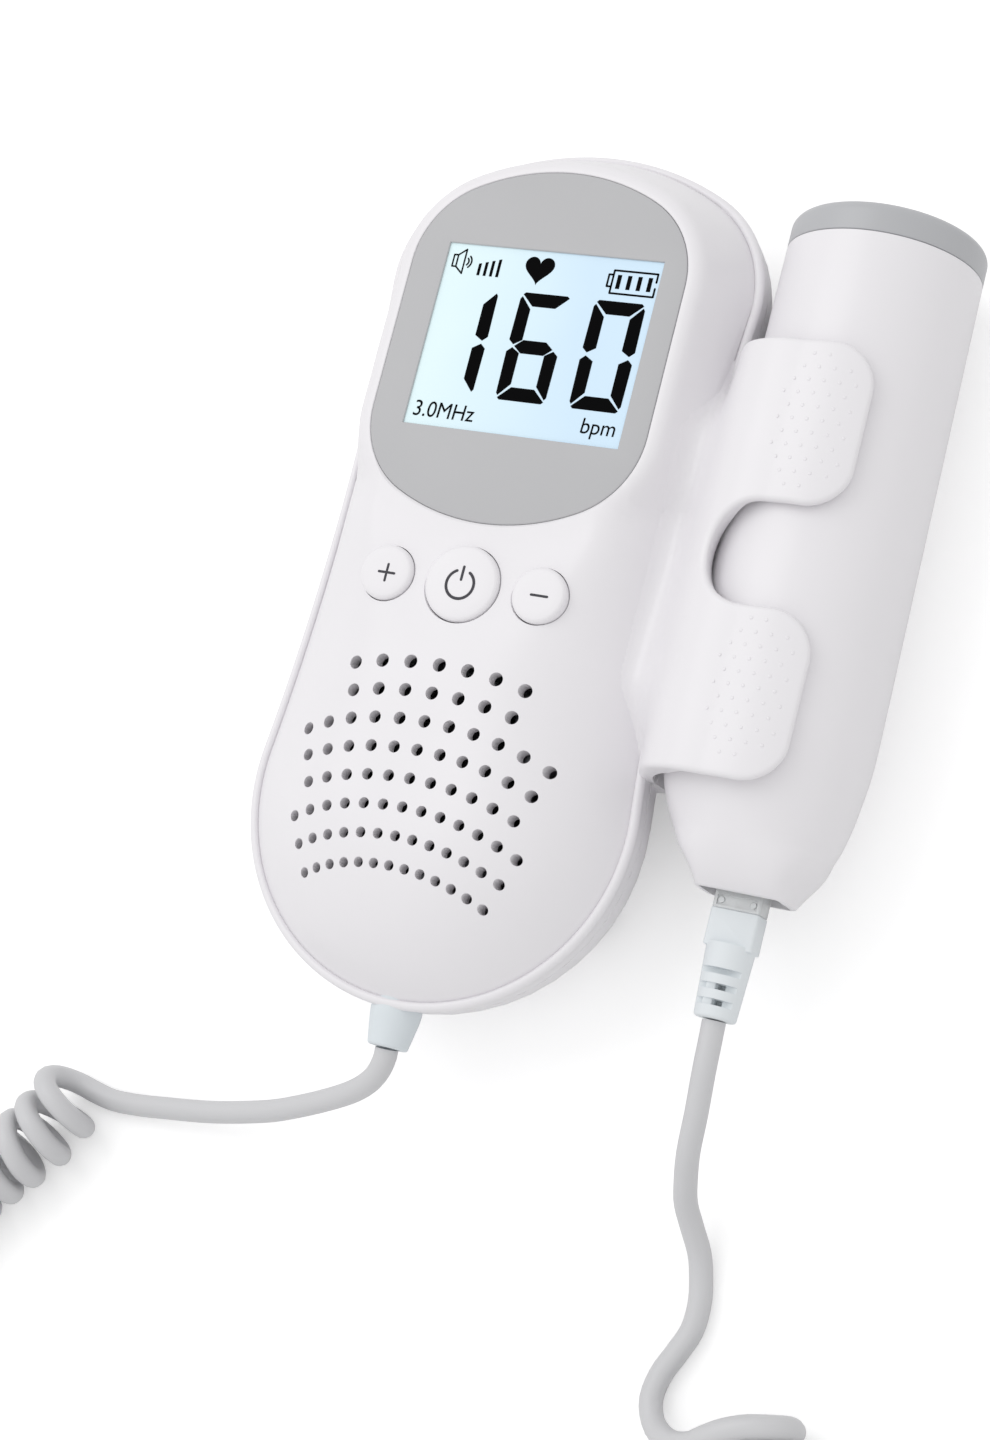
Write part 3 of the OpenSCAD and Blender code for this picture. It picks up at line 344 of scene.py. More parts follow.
tail_r, head_y, head_r, corner_r, waist_r = 33.3, 110.2, 46.6, 20.0, 430.0
head_w, face_z, rim_z = 65.2, 35.4, 22.55
corner_x = head_w / 2 - corner_r
top_y = head_y - head_r
corner_y = top_y + math.sqrt((head_r - corner_r) ** 2 - corner_x ** 2)
span = math.hypot(corner_x, corner_y)
reach = ((waist_r + tail_r) ** 2 - (waist_r + corner_r) ** 2 + span ** 2) / (2 * span)
off = math.sqrt((waist_r + tail_r) ** 2 - reach ** 2)
waist_x = (reach * corner_x + off * corner_y) / span
waist_y = (reach * corner_y - off * corner_x) / span
tail_a = math.degrees(math.atan2(waist_y, waist_x))
corner_a = math.degrees(math.atan2(waist_y - corner_y, waist_x - corner_x))
top_a = math.degrees(math.atan2(corner_y - top_y, corner_x))
right_half = np.vstack([arc(0, 0, tail_r, -90, tail_a, 64),
                        arc(waist_x, waist_y, waist_r, 180 + tail_a, 180 + corner_a, 44),
                        arc(corner_x, corner_y, corner_r, corner_a, top_a, 30),
                        arc(0, top_y, head_r, top_a, 90, 26), [(0, head_y)]])
rim = np.vstack([right_half, (right_half * (-1, 1))[-2:0:-1]])
spine_y = head_y - 0.92 * tail_r


def inward(p, share):
    """Points of the rim moved that share of the way to the spine of the body."""
    spine = np.stack([np.zeros(len(p)), np.clip(p[:, 1], 0, spine_y)], 1)
    return p + share * (spine - p)


def smooth(v):
    """A step from 0 to 1 with soft ends."""
    v = np.clip(v, 0, 1)
    return v * v * (3 - 2 * v)


def face_height(share, y):
    """The moulding's face: full over the loudspeaker, flat with a short flank at the display."""
    k = smooth((y - 0.45 * tail_r) / (0.9 * tail_r))
    crown = face_z - 1.5 * k
    width = 0.9 + k * (0.36 - 0.9)
    fall = 3.1 + k * (2 - 3.1)
    return crown - (crown - rim_z) * np.maximum(0, 1 - share / width) ** fall


# The display bezel's edge: four corner arcs, joined by a long bow at its top and at its bottom
bezel_y, bezel_z, corner_dx, corner_dy, bezel_r = 72.35, 34.0, 8.8, 12.55, 15
bow_r, bow_off, bow_a = 34.5, 4.85, 63.2


def seat_distance(x, y):
    """How far a point lies outside the edge of the display bezel."""
    x, y = np.abs(x), np.abs(y - bezel_y)
    from_corner = np.hypot(x - corner_dx, y - corner_dy) - bezel_r
    angle = np.degrees(np.arctan2(y - corner_dy, x - corner_dx))
    round_end = np.where(angle < bow_a, from_corner, np.hypot(x, y + bow_off) - bow_r)
    return np.where(y < corner_dy, x - corner_dx - bezel_r, round_end)


def skin_height(share, x, y):
    """The face with the rounded shoulder that the display bezel is set in."""
    d = np.maximum(seat_distance(x, y) - 0.5, 0)
    r, steep = 2.4, 2.1
    turn_at = r * steep / math.hypot(1, steep)
    drop = np.where(d < turn_at, r - np.sqrt(np.maximum(r * r - np.minimum(d, turn_at) ** 2, 0)),
                    r - r / math.hypot(1, steep) + steep * (d - turn_at))
    face, seat, soft_k = face_height(share, y), bezel_z - 0.07 - drop, 0.9
    mix = np.clip(0.5 + 0.5 * (seat - face) / soft_k, 0, 1)
    return face + (seat - face) * mix + soft_k * mix * (1 - mix)


def loft(name, rings, finish, closed=False):
    """A skin over rings of equal count, closed into a ring itself or with both of its ends filled.

    Where the ends are filled, the rings are symmetric about the unit's middle plane."""
    m = len(rings[0])
    last = (len(rings) - 1) * m
    faces = [(r * m + i, r * m + (i + 1) % m, (r + 1) * m + (i + 1) % m, (r + 1) * m + i)
             for r in range(len(rings) - 1) for i in range(m)]
    if closed:
        faces += [(last + i, last + (i + 1) % m, (i + 1) % m, i) for i in range(m)]
    for base in () if closed else (0, last):
        faces += [(base + i, base + i + 1, base + (m - i - 1) % m, base + (m - i) % m)
                  for i in range(1, m // 2 - 1)]
        faces += [(base, base + 1, base + m - 1),
                  (base + m // 2, base + m // 2 - 1, base + m // 2 + 1)]
    made = mesh_piece(name, from_unit(np.vstack(rings)), [], faces)
    made.data.materials.append(finish)
    outward(made)
    return made


def raised(outline, z):
    """An outline set at one height."""
    return np.c_[outline, np.full(len(outline), z)]


def level(inset, z):
    """The rim at one height, moved inwards by so much."""
    return raised(inward(rim, inset / tail_r), z)


def on_face(share, inset, lower=0.0):
    """The rim moved inwards along the face, or along a plain face that lies lower."""
    p = inward(rim, share + inset / tail_r)
    if lower:
        return np.c_[p, face_height(np.full(len(p), share), p[:, 1]) - lower]
    return np.c_[p, skin_height(np.full(len(p), share), p[:, 0], p[:, 1])]


shell_finish = moulded("shell white", linear(238, 236, 239), 0.36, grain=4200, depth=0.01,
                       Coat_Weight=0.12, Coat_Roughness=0.22)
bead_in, bead_up = 0.75, 0.825
bead = [level(bead_in * (1 - math.cos(a)),
              rim_z + bead_up * math.sin(a) - 0.45 * (1 - a / math.pi))
        for a in np.linspace(0, math.pi, 13)[:-1]]
inside = [on_face(s, 3.5, 2) for s in (0.86, 0.66, 0.48, 0.34, 0.25, 0.18, 0.12, 0.07, 0.03, 0)]
foot = ((2.25, 20.55), (2.25, 19), (0.55, 19), (0.37, 19.05), (0.28, 19.16), (0.25, 19.35))
front_rings = (inside + [level(i, z) for i, z in foot]
               + [level(0.25, 20.5), level(0.2, 21.6)] + bead
               + [on_face(s, 1.5) for s in np.r_[0:0.3:0.0145, 0.3:0.42:0.02, 0.42:0.93:0.045]])
front_shell = loft("front_shell_skin", front_rings, shell_finish)


def bezel_outline(grow):
    """The edge of the display bezel, grown by so much."""
    steps = 14
    upper = np.vstack([arc(corner_dx, corner_dy, bezel_r + grow, 0, bow_a, steps),
                       arc(0, -bow_off, bow_r + grow, bow_a, 180 - bow_a, 2 * steps),
                       arc(-corner_dx, corner_dy, bezel_r + grow, 180 - bow_a, 180, steps),
                       [(-corner_dx - bezel_r - grow, corner_dy)]])
    return np.vstack([upper, -upper]) + (0, bezel_y)


def prism(shape, outlines):
    """Adds a closed skin over stacked outlines of equal count to a bmesh."""
    rows = [[shape.verts.new(p) for p in from_unit(o)] for o in outlines]
    n = len(rows[0])
    for low, high in zip(rows, rows[1:]):
        for i in range(n):
            shape.faces.new((low[i], low[(i + 1) % n], high[(i + 1) % n], high[i]))
    shape.faces.new(rows[0][::-1])
    shape.faces.new(rows[-1])


def turned(shape, x, y, profile, sides):
    """Adds a solid turned about an upright axis: the profile is (height, radius), lowest first."""
    a = 2 * np.pi * np.arange(sides) / sides
    prism(shape, [np.stack([x + r * np.cos(a), y + r * np.sin(a), np.full(sides, h)], 1)
                  for h, r in profile])


def shaped(name, shape, finish):
    """An object from a bmesh, with its faces turned outwards."""
    bmesh.ops.recalc_face_normals(shape, faces=shape.faces)
    mesh = bpy.data.meshes.new(name)
    shape.to_mesh(mesh)
    shape.free()
    mesh.materials.append(finish)
    return set_down(name, mesh)


def carve(piece, tool, operation="DIFFERENCE"):
    """Cuts the tool out of the piece, or joins it on, and removes the tool."""
    cut = piece.modifiers.new("cut", "BOOLEAN")
    cut.operation = operation
    cut.solver = "MANIFOLD"
    cut.object = tool
    mesh, old = applied(piece), piece.data
    piece.modifiers.remove(cut)
    piece.data = mesh
    bpy.data.meshes.remove(old)
    bpy.data.objects.remove(tool)


def soften(piece, angle):
    """Smooth shading that keeps edges sharper than the angle."""
    piece.data.shade_smooth()
    piece.data.set_sharp_from_angle(angle=math.radians(angle))


key_at, key_y = ((-13.2, 4.5), (0, 6.2), (13.2, 4.5)), 32.4
drills = bmesh.new()
prism(drills, [raised(bezel_outline(g), z) for g, z in
               ((0.04, 32.8), (0.04, 33.7), (0.08, 33.83), (0.2, 33.93), (0.6, 34.2), (0.6, 38))])
for x, r in key_at:
    top = float(face_height(1 - abs(x) / tail_r, key_y))
    turned(drills, x, key_y, [(24, r + 0.14), (top - 0.1, r + 0.14), (top + 0.06, r + 0.26),
                              (top + 4, r + 0.26)], 96)
holes = []
fan_r, fan_y, row_gap, hole_a = 69.3, 19, 4.56, 4.07
for row, count in enumerate((3, 3, 5, 5, 5, 6, 6, 6)):
    for j in range(-count, count + 1):
        r, a = fan_r - row_gap * row, math.radians(j * hole_a)
        x, y = r * math.sin(a), fan_y - fan_r + r * math.cos(a)
        share = 1 - math.hypot(x, min(y, 0)) / tail_r
        holes.append((x, y, float(face_height(share, y)), 1.1 - 0.3 * row / 7))

# The grille's drills: one drill set out on a point for each hole, as wide as its row asks
grille_tree, takes = node_tree("grille drills", "Depth")
wide = wire(grille_tree, "GeometryNodeInputNamedAttribute", {"data_type": "FLOAT"}, Name="width")
bit = wire(grille_tree, "GeometryNodeMeshCylinder", Vertices=28, Radius=1.0, Depth=takes["Depth"])
size = wire(grille_tree, "ShaderNodeCombineXYZ", X=wide.outputs[0], Y=wide.outputs[0], Z=1.0)
set_out = wire(grille_tree, "GeometryNodeInstanceOnPoints", Points=takes["Geometry"],
               Instance=bit.outputs["Mesh"], Scale=size.outputs[0])
end_tree(grille_tree, set_out.outputs[0], takes["Finish"])


def points_with(name, points, label, kind, field, values):
    """Loose points in the unit's millimetres, which carry a value each under the label."""
    made = mesh_piece(name, from_unit(points), [], [])
    made.data.attributes.new(label, kind, "POINT").data.foreach_set(field, values)
    return made


spots = points_with("grille", [h[:3] for h in holes], "width", "FLOAT", "value",
                    [h[3] / 1000 for h in holes])
grille = run_tree(spots, grille_tree, {"Depth": 0.016, "Finish": shell_finish}, "grille bits")
carve(front_shell, shaped("drills", drills, shell_finish))
carve(front_shell, grille)
glass_hole = bmesh.new()
prism(glass_hole, [raised(corners(0.6, 72.9, 39.8, 33.4), z) for z in (20, 33)])
carve(front_shell, shaped("glass hole", glass_hole, shell_finish))
soften(front_shell, 30)
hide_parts("front_shell")
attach(front_shell, "main_unit")

# Cradle
# Two claws moulded with the front shell: a plate that rises from its flank, runs over the probe
# and leaves a round notch for the thumb. A thinner liner under it stops short of the free edge.
probe_x, probe_z, claw_r = 49.6, 18.4, 18.4
claw_low, claw_high, root_x, crest_x = 9.5, 77.7, 25, 46.2
thumb_x, thumb_y, thumb_r = 45.525, 43.8, 8.15


def claw_edge(edge_x, r, grow):
    """The claws seen from the face, grown by so much, counter-clockwise from the lower root."""
    low, high = claw_low - grow, claw_high + grow
    notch = thumb_r - grow
    start, out = thumb_x + 0.075, edge_x - r
    return np.vstack([
        [(x, low) for x in np.arange(root_x, out, 0.5)],
        arc(out, low + r, r, -90, 0, 12),
        arc(out, thumb_y - notch - r, r, 0, 90, 12),
        [(x, thumb_y - notch) for x in np.arange(out, start, -0.8)],
        arc(thumb_x, thumb_y, notch, -90, -270, 30),
        [(x, thumb_y + notch) for x in np.arange(start, out, 0.8)],
        arc(out, thumb_y + notch + r, r, -90, 0, 12),
        arc(out, high - r, r, 0, 90, 12),
        [(x, high) for x in np.arange(out, root_x + 0.2, -0.5)],
        [(root_x, y) for y in np.arange(high, low + 0.1, -1.2)]])


def claw_top(x, y):
    """Height of the claws' upper side, run softly into the front shell's flank."""
    end = 1 - smooth(np.minimum(y - claw_low, claw_high - y) / 15)
    slope = (36.2 - 8.66 * (np.maximum(45.14 - x, 0) / 13.49) ** 2.65
             - 0.175 * end * np.maximum(36.5 - x, 0) ** 2)
    bow = probe_z + np.sqrt(np.maximum(claw_r ** 2 - (x - probe_x) ** 2, 1)) - 0.2
    plate = np.where(x < crest_x, slope, bow)
    half = np.interp(y, right_half[:, 1], right_half[:, 0])
    skin = skin_height(1 - x / half - 1.5 / tail_r, x, y)
    k = 13 - 12 * end
    mix = np.clip(0.5 + 0.5 * (plate - skin) / k, 0, 1)
    dive = 0.6 * np.clip((skin - plate - k) / 4, 0, 1)
    return skin + (plate - skin) * mix + k * mix * (1 - mix) - 0.03 - dive


def claw_point(x, y, depth):
    """A point so deep under the claws' upper side; deep down it follows the probe's channel."""
    ahead = (claw_top(x + 0.1, y) - claw_top(x - 0.1, y)) / 0.2
    lean = np.where(x < crest_x, -np.clip(ahead, 0.0, 0.9), (x - probe_x) / claw_r)
    cosine = np.sqrt(1 - np.minimum(lean ** 2, 0.8))
    z = claw_top(x, y) - depth * cosine
    channel = probe_z + np.sqrt(np.maximum((claw_r - 2) ** 2 - (x - probe_x) ** 2, 1.5))
    web = smooth((depth - 0.7) / 0.7) * smooth((43 - x) / 4) * smooth((x - 29.5) / 1.5)
    return np.stack([x - depth * lean * (1 - web), y, z + (np.minimum(channel, z) - z) * web], 1)


def claw_plate(name, edge, top, bottom, round_top, round_low, step, finish):
    """A closed plate inside the edge, from depth top to depth bottom, with rounded edges."""
    ahead, behind = np.roll(edge, -1, 0), np.roll(edge, 1, 0)
    run = ahead - behind
    inner = np.stack([-run[:, 1], run[:, 0]], 1) / np.linalg.norm(run, axis=1)[:, None]
    rings = [(round_top * (1 - math.sin(a)), top + round_top * (1 - math.cos(a)))
             for a in np.radians(np.linspace(0, 90, 8))]
    rings += [(round_low * (1 - math.cos(a)), bottom - round_low + round_low * math.sin(a))
              for a in np.radians(np.linspace(0, 90, 4))]
    shape = bmesh.new()
    rows = []
    for inset, depth in rings:
        p = edge + inset * inner
        rows.append([shape.verts.new(q) for q in from_unit(claw_point(p[:, 0], p[:, 1], depth))])
    n = len(edge)
    for a, b in zip(rows, rows[1:]):
        for i in range(n):
            shape.faces.new((a[i], a[(i + 1) % n], b[(i + 1) % n], b[i]))
    for row, (inset, depth) in ((rows[0], rings[0]), (rows[-1], rings[-1])):
        ring = edge + inset * inner
        xs, ys = np.meshgrid(np.arange(ring[:, 0].min(), ring[:, 0].max(), step),
                             np.arange(ring[:, 1].min(), ring[:, 1].max(), step))
        grid = np.stack([xs.ravel(), ys.ravel()], 1)
        grid = grid[(grid[:, 0] < 35) | (np.round(grid / step).sum(1) % 2 == 0)]
        near = np.linalg.norm(grid[:, None] - ring[None], axis=2).min(1)
        grid = grid[near > 0.6 * step]
        points = [Vector(p) for p in np.vstack([ring, grid])]
        found, _, faces, source, _, _ = delaunay_2d_cdt(points, [], [list(range(n))], 1, 1e-7)
        verts = {}
        for k, whence in enumerate(source):
            first = min(whence) if whence else None
            if first is not None and first < n:
                verts[k] = row[first]
        for face in faces:
            for k in face:
                if k not in verts:
                    x, y = np.array(found[k])[:, None]
                    verts[k] = shape.verts.new(from_unit(claw_point(x, y, depth))[0])
            shape.faces.new([verts[k] for k in face])
    return shaped(name, shape, finish)


for name, edge, sizes in (
        ("cradle_claws", claw_edge(57.8, 6.8, 0), (0, 1.5, 0.75, 0.25, 0.6)),
        ("cradle_liner", claw_edge(57.7, 6.5, -0.35), (1.4, 2.0, 0.1, 0.2, 2.4))):
    piece = claw_plate(name, edge, *sizes, shell_finish)
    soften(piece, 60)
    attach(piece, "main_unit")

# Small dots in a staggered grid give each claw some grip.
dot_tree, takes = node_tree("claw grip", "Size")
dot = wire(dot_tree, "GeometryNodeMeshIcoSphere", Radius=takes["Size"], Subdivisions=2)
facing = wire(dot_tree, "GeometryNodeInputNamedAttribute", {"data_type": "FLOAT_VECTOR"},
              Name="lean")
aim = wire(dot_tree, "FunctionNodeAlignRotationToVector", {"axis": "Z"}, Vector=facing.outputs[0])
set_out = wire(dot_tree, "GeometryNodeInstanceOnPoints", Points=takes["Geometry"],
               Instance=dot.outputs["Mesh"], Rotation=aim.outputs[0], Scale=(1, 1, 0.24))
end_tree(dot_tree, set_out.outputs[0], takes["Finish"])
dots, leans = [], []
for low, high in ((13.0, 33.6), (54.6, 75.4)):
    for row in range(11):
        y = low + (high - low) * row / 10
        for col in range(6):
            x = 43.2 + 2.4 * col + (1.2 if row % 2 else 0)
            corner = min(y - low, high - y)
            if x < 44 + 1.4 * max(0, 2.4 - corner) or x > 55.6 - 1.1 * max(0, 3.2 - corner):
                continue
            lean = (x - probe_x) / claw_r
            dots.append((x, y, float(claw_top(np.array([x]), np.array([y]))[0])))
            leans += [lean, 0, math.sqrt(1 - lean * lean)]
spots = points_with("grip", dots, "lean", "FLOAT_VECTOR", "vector", leans)
grip = run_tree(spots, dot_tree, {"Size": 0.0003, "Finish": shell_finish}, "claw_grip")
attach(grip, "main_unit")

# Rear shell and battery cover
# The white lower half of the case is screwed to the front shell. It holds the battery bay, with
# a cover that slides in its rails, and the rear arm of the cradle. Both keep the solids' shapes,
# with their edges left crisp and their skin smooth.
def from_node(node, name, finish, bevel=0.0):
    """A merged copy of a CAD node that stands for it, with smooth skin and crisp edges."""
    shape = bmesh.new()
    shape.from_mesh(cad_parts[node].data)
    bmesh.ops.remove_doubles(shape, verts=shape.verts, dist=2e-6)
    bmesh.ops.dissolve_limit(shape, angle_limit=math.radians(0.5), verts=shape.verts,
                             edges=shape.edges)
    made = shaped(name, shape, finish)
    for face in made.data.polygons:
        face.material_index = 0
    if bevel:
        rounding = made.modifiers.new("edges", "BEVEL")
        rounding.width = bevel / 1000
        rounding.segments = 2
        rounding.limit_method = "ANGLE"
        rounding.angle_limit = math.radians(35)
        mesh = applied(made)
        made.modifiers.clear()
        made.data = mesh
    soften(made, 30)
    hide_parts(node)
    return made


for node, body in (("rear_shell", "main_unit"), ("battery_cover", "battery_cover")):
    piece = from_node(node, node + "_skin", shell_finish)
    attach(piece, body)

# Display
# A grey painted bezel lies in the seat of the front shell, over the liquid crystal panel with its
# pale cyan light. Black segments and small signs show the rate, volume, beat and charge.
bezel_finish = moulded("bezel grey", linear(188, 188, 190), 0.5, grain=6000, depth=0.008)
ring = bezel_outline(0)
window_mid, window_half = np.array((0.85, 72.95)), np.array((18.7, 15.55))
toward_window = ring - window_mid
to_edge = (window_half / np.maximum(np.abs(toward_window), 1e-6)).min(1)
window = window_mid + toward_window * to_edge[:, None]
for corner in corners(*window_mid, *(2 * window_half)):
    window[np.linalg.norm(window - corner, axis=1).argmin()] = corner
outwards = np.round((window - window_mid) / window_half)
bezel_rings = [raised(window, 32.84), raised(window, 33.9), raised(window + 0.1 * outwards, bezel_z)]
bezel_rings += [raised(bezel_outline(g), z) for g, z in
                ((-0.3, bezel_z), (-0.12, 33.95), (-0.03, 33.84), (0, 33.7), (0, 32.84))]
bezel = loft("display_bezel_skin", bezel_rings, bezel_finish, closed=True)
soften(bezel, 25)
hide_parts("display_bezel")
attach(bezel, "main_unit")

panel_finish, glow, glass = finish_of("display light", Emission_Strength=0.06, Roughness=0.3,
                                      Specular_IOR_Level=0.25)
place = glow.nodes.new("ShaderNodeTexCoord").outputs["Object"]
parts = wire(glow, "ShaderNodeSeparateXYZ", Vector=place)
across = wire(glow, "ShaderNodeMapRange", Value=parts.outputs["X"], From_Min=-0.034, From_Max=0.003)
cloud = wire(glow, "ShaderNodeTexNoise", Vector=place, Scale=45.0, Detail=2.0)
blur = wire(glow, "ShaderNodeMath", {"operation": "MULTIPLY_ADD"}, cloud.outputs["Fac"], 0.5,
            across.outputs[0])
tone = wire(glow, "ShaderNodeMix", {"data_type": "RGBA"}, Factor=blur.outputs[0],
            A=linear(232, 251, 250), B=linear(208, 231, 248))
glow.links.new(tone.outputs[2], glass.inputs["Base Color"])
glow.links.new(tone.outputs[2], glass.inputs["Emission Color"])
panel = bmesh.new()
prism(panel, [raised(corners(0.6, 72.9, 39.6, 33.2), z) for z in (31.6, 32.8)])
prism(panel, [raised(corners(*window_mid, *(2 * window_half + 0.4)), z) for z in (32.8, 33.62)])
panel = shaped("lcd_panel_skin", panel, panel_finish)
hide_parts("lcd_panel")
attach(panel, "main_unit")

ink_finish = moulded("display ink", linear(3, 3, 4), 0.8, spread=0.05, grain=9000, depth=0.002,
                     Specular_IOR_Level=0.06)
ink, mark_z = bmesh.new(), 33.6


def flat_mark(shape, points, z=mark_z, thick=0.05):
    """Adds a thin flat mark with the outline of the points to a bmesh."""
    p = np.asarray(points, float)
    twist = np.sum(p[:, 0] * np.roll(p[:, 1], -1) - p[:, 1] * np.roll(p[:, 0], -1))
    p = p if twist > 0 else p[::-1]
    prism(shape, [raised(p, z), raised(p, z + thick)])


def stroke(shape, points, width, z=mark_z, thick=0.05):
    """Adds a pen stroke along the points, with round ends, to a bmesh."""
    tip = 5
    p = np.asarray(points, float)
    d = np.gradient(p, axis=0)
    n = np.stack([-d[:, 1], d[:, 0]], 1) / np.linalg.norm(d, axis=1)[:, None] * width / 2
    ends = []
    for k, sign in ((-1, 1), (0, -1)):
        a = math.atan2(sign * n[k][1], sign * n[k][0]) - np.pi * np.arange(tip + 1) / tip
        ends.append(list(p[k] + width / 2 * np.stack([np.cos(a), np.sin(a)], 1)))
    flat_mark(shape, list(p + n)[:-1] + ends[0] + list(p - n)[::-1][1:-1] + ends[1], z, thick)


# A digit's seven segments are three bars about its middle, each also turned over to the other
# side, to the bottom or to both. Half its width and height, the bars' thickness and their gap:
w, h, t, g = 4.45, 9.1, 2.25, 0.2
top_bar = [(g + .25 - w, h - .35), (g + .6 - w, h), (w - g - .6, h), (w - g - .2, h - .35),
           (w - t - g, h - t), (t + g - w, h - t)]
middle_bar = [(g + .9 - w, 0), (t + g - w, t / 2), (w - t - g, t / 2), (w - g - .9, 0),
              (w - t - g, -t / 2), (t + g - w, -t / 2)]
side_bar = [(.1 - w, h - 1.1), (.4 - w, h - .7), (t - w, h - t - g - .3), (t - w, 1.1),
            (.85 - w, g + .05), (-w, 1)]
segments = {"a": (top_bar, 1, 1), "b": (side_bar, -1, 1), "c": (side_bar, -1, -1),
            "d": (top_bar, 1, -1), "e": (side_bar, 1, -1), "f": (side_bar, 1, 1),
            "g": (middle_bar, 1, 1)}
for x, lit in ((-12.0, "bc"), (0.7, "acdefg"), (13.45, "abcdef")):
    for part in lit:
        bar, over, down = segments[part]
        flat_mark(ink, np.array(bar) * (over, down) + (x, 72.5))
heart = []
for a in np.linspace(0, 2 * math.pi, 49)[:-1]:
    heart.append((-1.75 + 2.55 * math.sin(a) ** 3,
                  85.75 + 0.165 * (13 * math.cos(a) - 5 * math.cos(2 * a) - 2 * math.cos(3 * a)
                                   - math.cos(4 * a))))
flat_mark(ink, heart)
for i in range(4):
    x = -12.4 + 1.12 * i
    flat_mark(ink, [(x, 83.65), (x + 0.5, 83.65), (x + 0.5, 85.75 + 0.32 * i), (x, 85.65 + 0.32 * i)])
    x = 11.85 + 1.75 * i
    flat_mark(ink, [(x, 83.7), (x + 0.7, 83.7), (x + 0.7, 86.05), (x, 86.05)])
for run in ([(18.5, 85.35), (18.5, 86.75), (11.1, 86.75), (11.1, 82.9), (18.5, 82.9), (18.5, 84.3)],
            [(11.1, 86.0), (10.35, 86.0), (10.35, 84.0), (11.1, 84.0)]):
    for a, b in zip(run, run[1:]):
        stroke(ink, [a, b], 0.32)
for run in ([(-16.4, 86.8), (-17.1, 86.8), (-17.1, 84.8), (-16.4, 84.8)],
            [(-16.4, 84.8), (-16.4, 86.8), (-15.1, 87.85), (-15.1, 83.7), (-16.4, 84.8)]):
    for a, b in zip(run, run[1:]):
        stroke(ink, [a, b], 0.27)
for r in (0.75, 1.25):
    stroke(ink, arc(-15.05, 85.8, r, -50, 56, 12), 0.28)
bmesh.ops.translate(ink, vec=(0.0004, -0.00025, 0), verts=ink.verts)
signs = shaped("display_marks", ink, ink_finish)
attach(signs, "main_unit")


def lettering(text, left, base, height, squeeze):
    """Printed lettering, made a mesh before it is put in its place on the display."""
    curve = bpy.data.curves.new(text, "FONT")
    curve.body = text
    curve.size = 1
    curve.shear = 0.05
    curve.extrude = 0.01
    source = set_down(text, curve)
    mesh = applied(source)
    bpy.data.objects.remove(source)
    co = np.array([v.co for v in mesh.vertices])
    scale = height / co[:, 1].max()
    p = np.stack([left + co[:, 0] * scale * squeeze, base + co[:, 1] * scale,
                  mark_z + 0.03 + co[:, 2] * 2], 1)
    mesh.vertices.foreach_set("co", from_unit(p).ravel())
    mesh.update()
    mesh.materials.clear()
    mesh.materials.append(ink_finish)
    made = set_down("display_" + text.replace(".", "_"), mesh)
    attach(made, "main_unit")


lettering("3.0MHz", -16.9, 58.9, 2.6, 0.92)
lettering("bpm", 12.3, 59.35, 2.5, 0.94)

# Keys
# Three white moulded keys stand a little out of the face, each held under it by a flange and
# pressed up by the rubber key mat. Their signs are printed in thin dark grey lines.
key_finish = moulded("key white", linear(240, 238, 241), 0.4, grain=4200, depth=0.008,
                     Coat_Weight=0.1, Coat_Roughness=0.25)
sign_finish = moulded("key print", linear(76, 75, 80), 0.7, spread=0.05, grain=8000, depth=0.002,
                      Specular_IOR_Level=0.15)
for (x, r), label in zip(key_at, ("plus", "power", "minus")):
    top = float(face_height(1 - abs(x) / tail_r, key_y)) + 0.95
    shape, soft = bmesh.new(), 0.8
    turned(shape, x, key_y, [(29.6, r + 0.75), (30.6, r + 0.75), (30.6, r),
                             *bend(top - soft, r - soft, soft, 90, 10, 9),
                             (top + 0.06, 0.6 * r), (top + 0.09, 0.12 * r)], 96)
    key = shaped(label + "_key_cap", shape, key_finish)
    soften(key, 50)
    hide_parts(label + "_key")
    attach(key, label + "_key")
    shape, z, thick = bmesh.new(), top + 0.04, 0.07
    if label == "power":
        stroke(shape, arc(x, key_y - 0.3, 2.33, 116, 424, 60), 0.46, z, thick)
        stroke(shape, [(x, key_y + up) for up in (0.45, 1.5, 2.55)], 0.44, z, thick)
    else:
        x, y, arm = x + 0.3, key_y - 0.2, 1.35
        stroke(shape, [(x - arm, y), (x, y), (x + arm, y)], 0.4, z, thick)
        if label == "plus":
            stroke(shape, [(x, y - arm), (x, y), (x, y + arm)], 0.4, z + 0.002, thick)
    sign = shaped(label + "_sign", shape, sign_finish)
    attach(sign, label + "_key")

# Gland
# A soft tapered sleeve of pale rubber, moulded on the cord and held in a hole in the tail. It
# keeps the cord from bending sharply where it leaves the case.
def rings_along_y(x, z, profile, sides):
    """Rings about an axis along Y: the profile is (y, radius), from its first end to its last."""
    a = 2 * np.pi * np.arange(sides) / sides
    return [np.stack([x + r * np.cos(a), np.full(sides, y), z + r * np.sin(a)], 1)
            for y, r in profile]


def along_y(name, x, z, profile, sides, finish):
    """A piece turned about an axis along Y."""
    shape = bmesh.new()
    prism(shape, rings_along_y(x, z, profile, sides))
    made = shaped(name, shape, finish)
    soften(made, 35)
    return made


rubber_finish = moulded("gland rubber", linear(222, 229, 233), 0.5, grain=3500, depth=0.012)
gland_z = 18.9
profile = [(-29.2, 4.0), (-33.5, 4.1), (-34.6, 4.0), *bend(-38.65, 2.75, 0.55, 90, 180, 7),
           (-39.2, 2.1), (-38.4, 1.95), (-38.3, 0.3)]
gland = along_y("cord_gland_sleeve", 0, gland_z, profile, 72, rubber_finish)
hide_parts("cord_gland")
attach(gland, "main_unit")

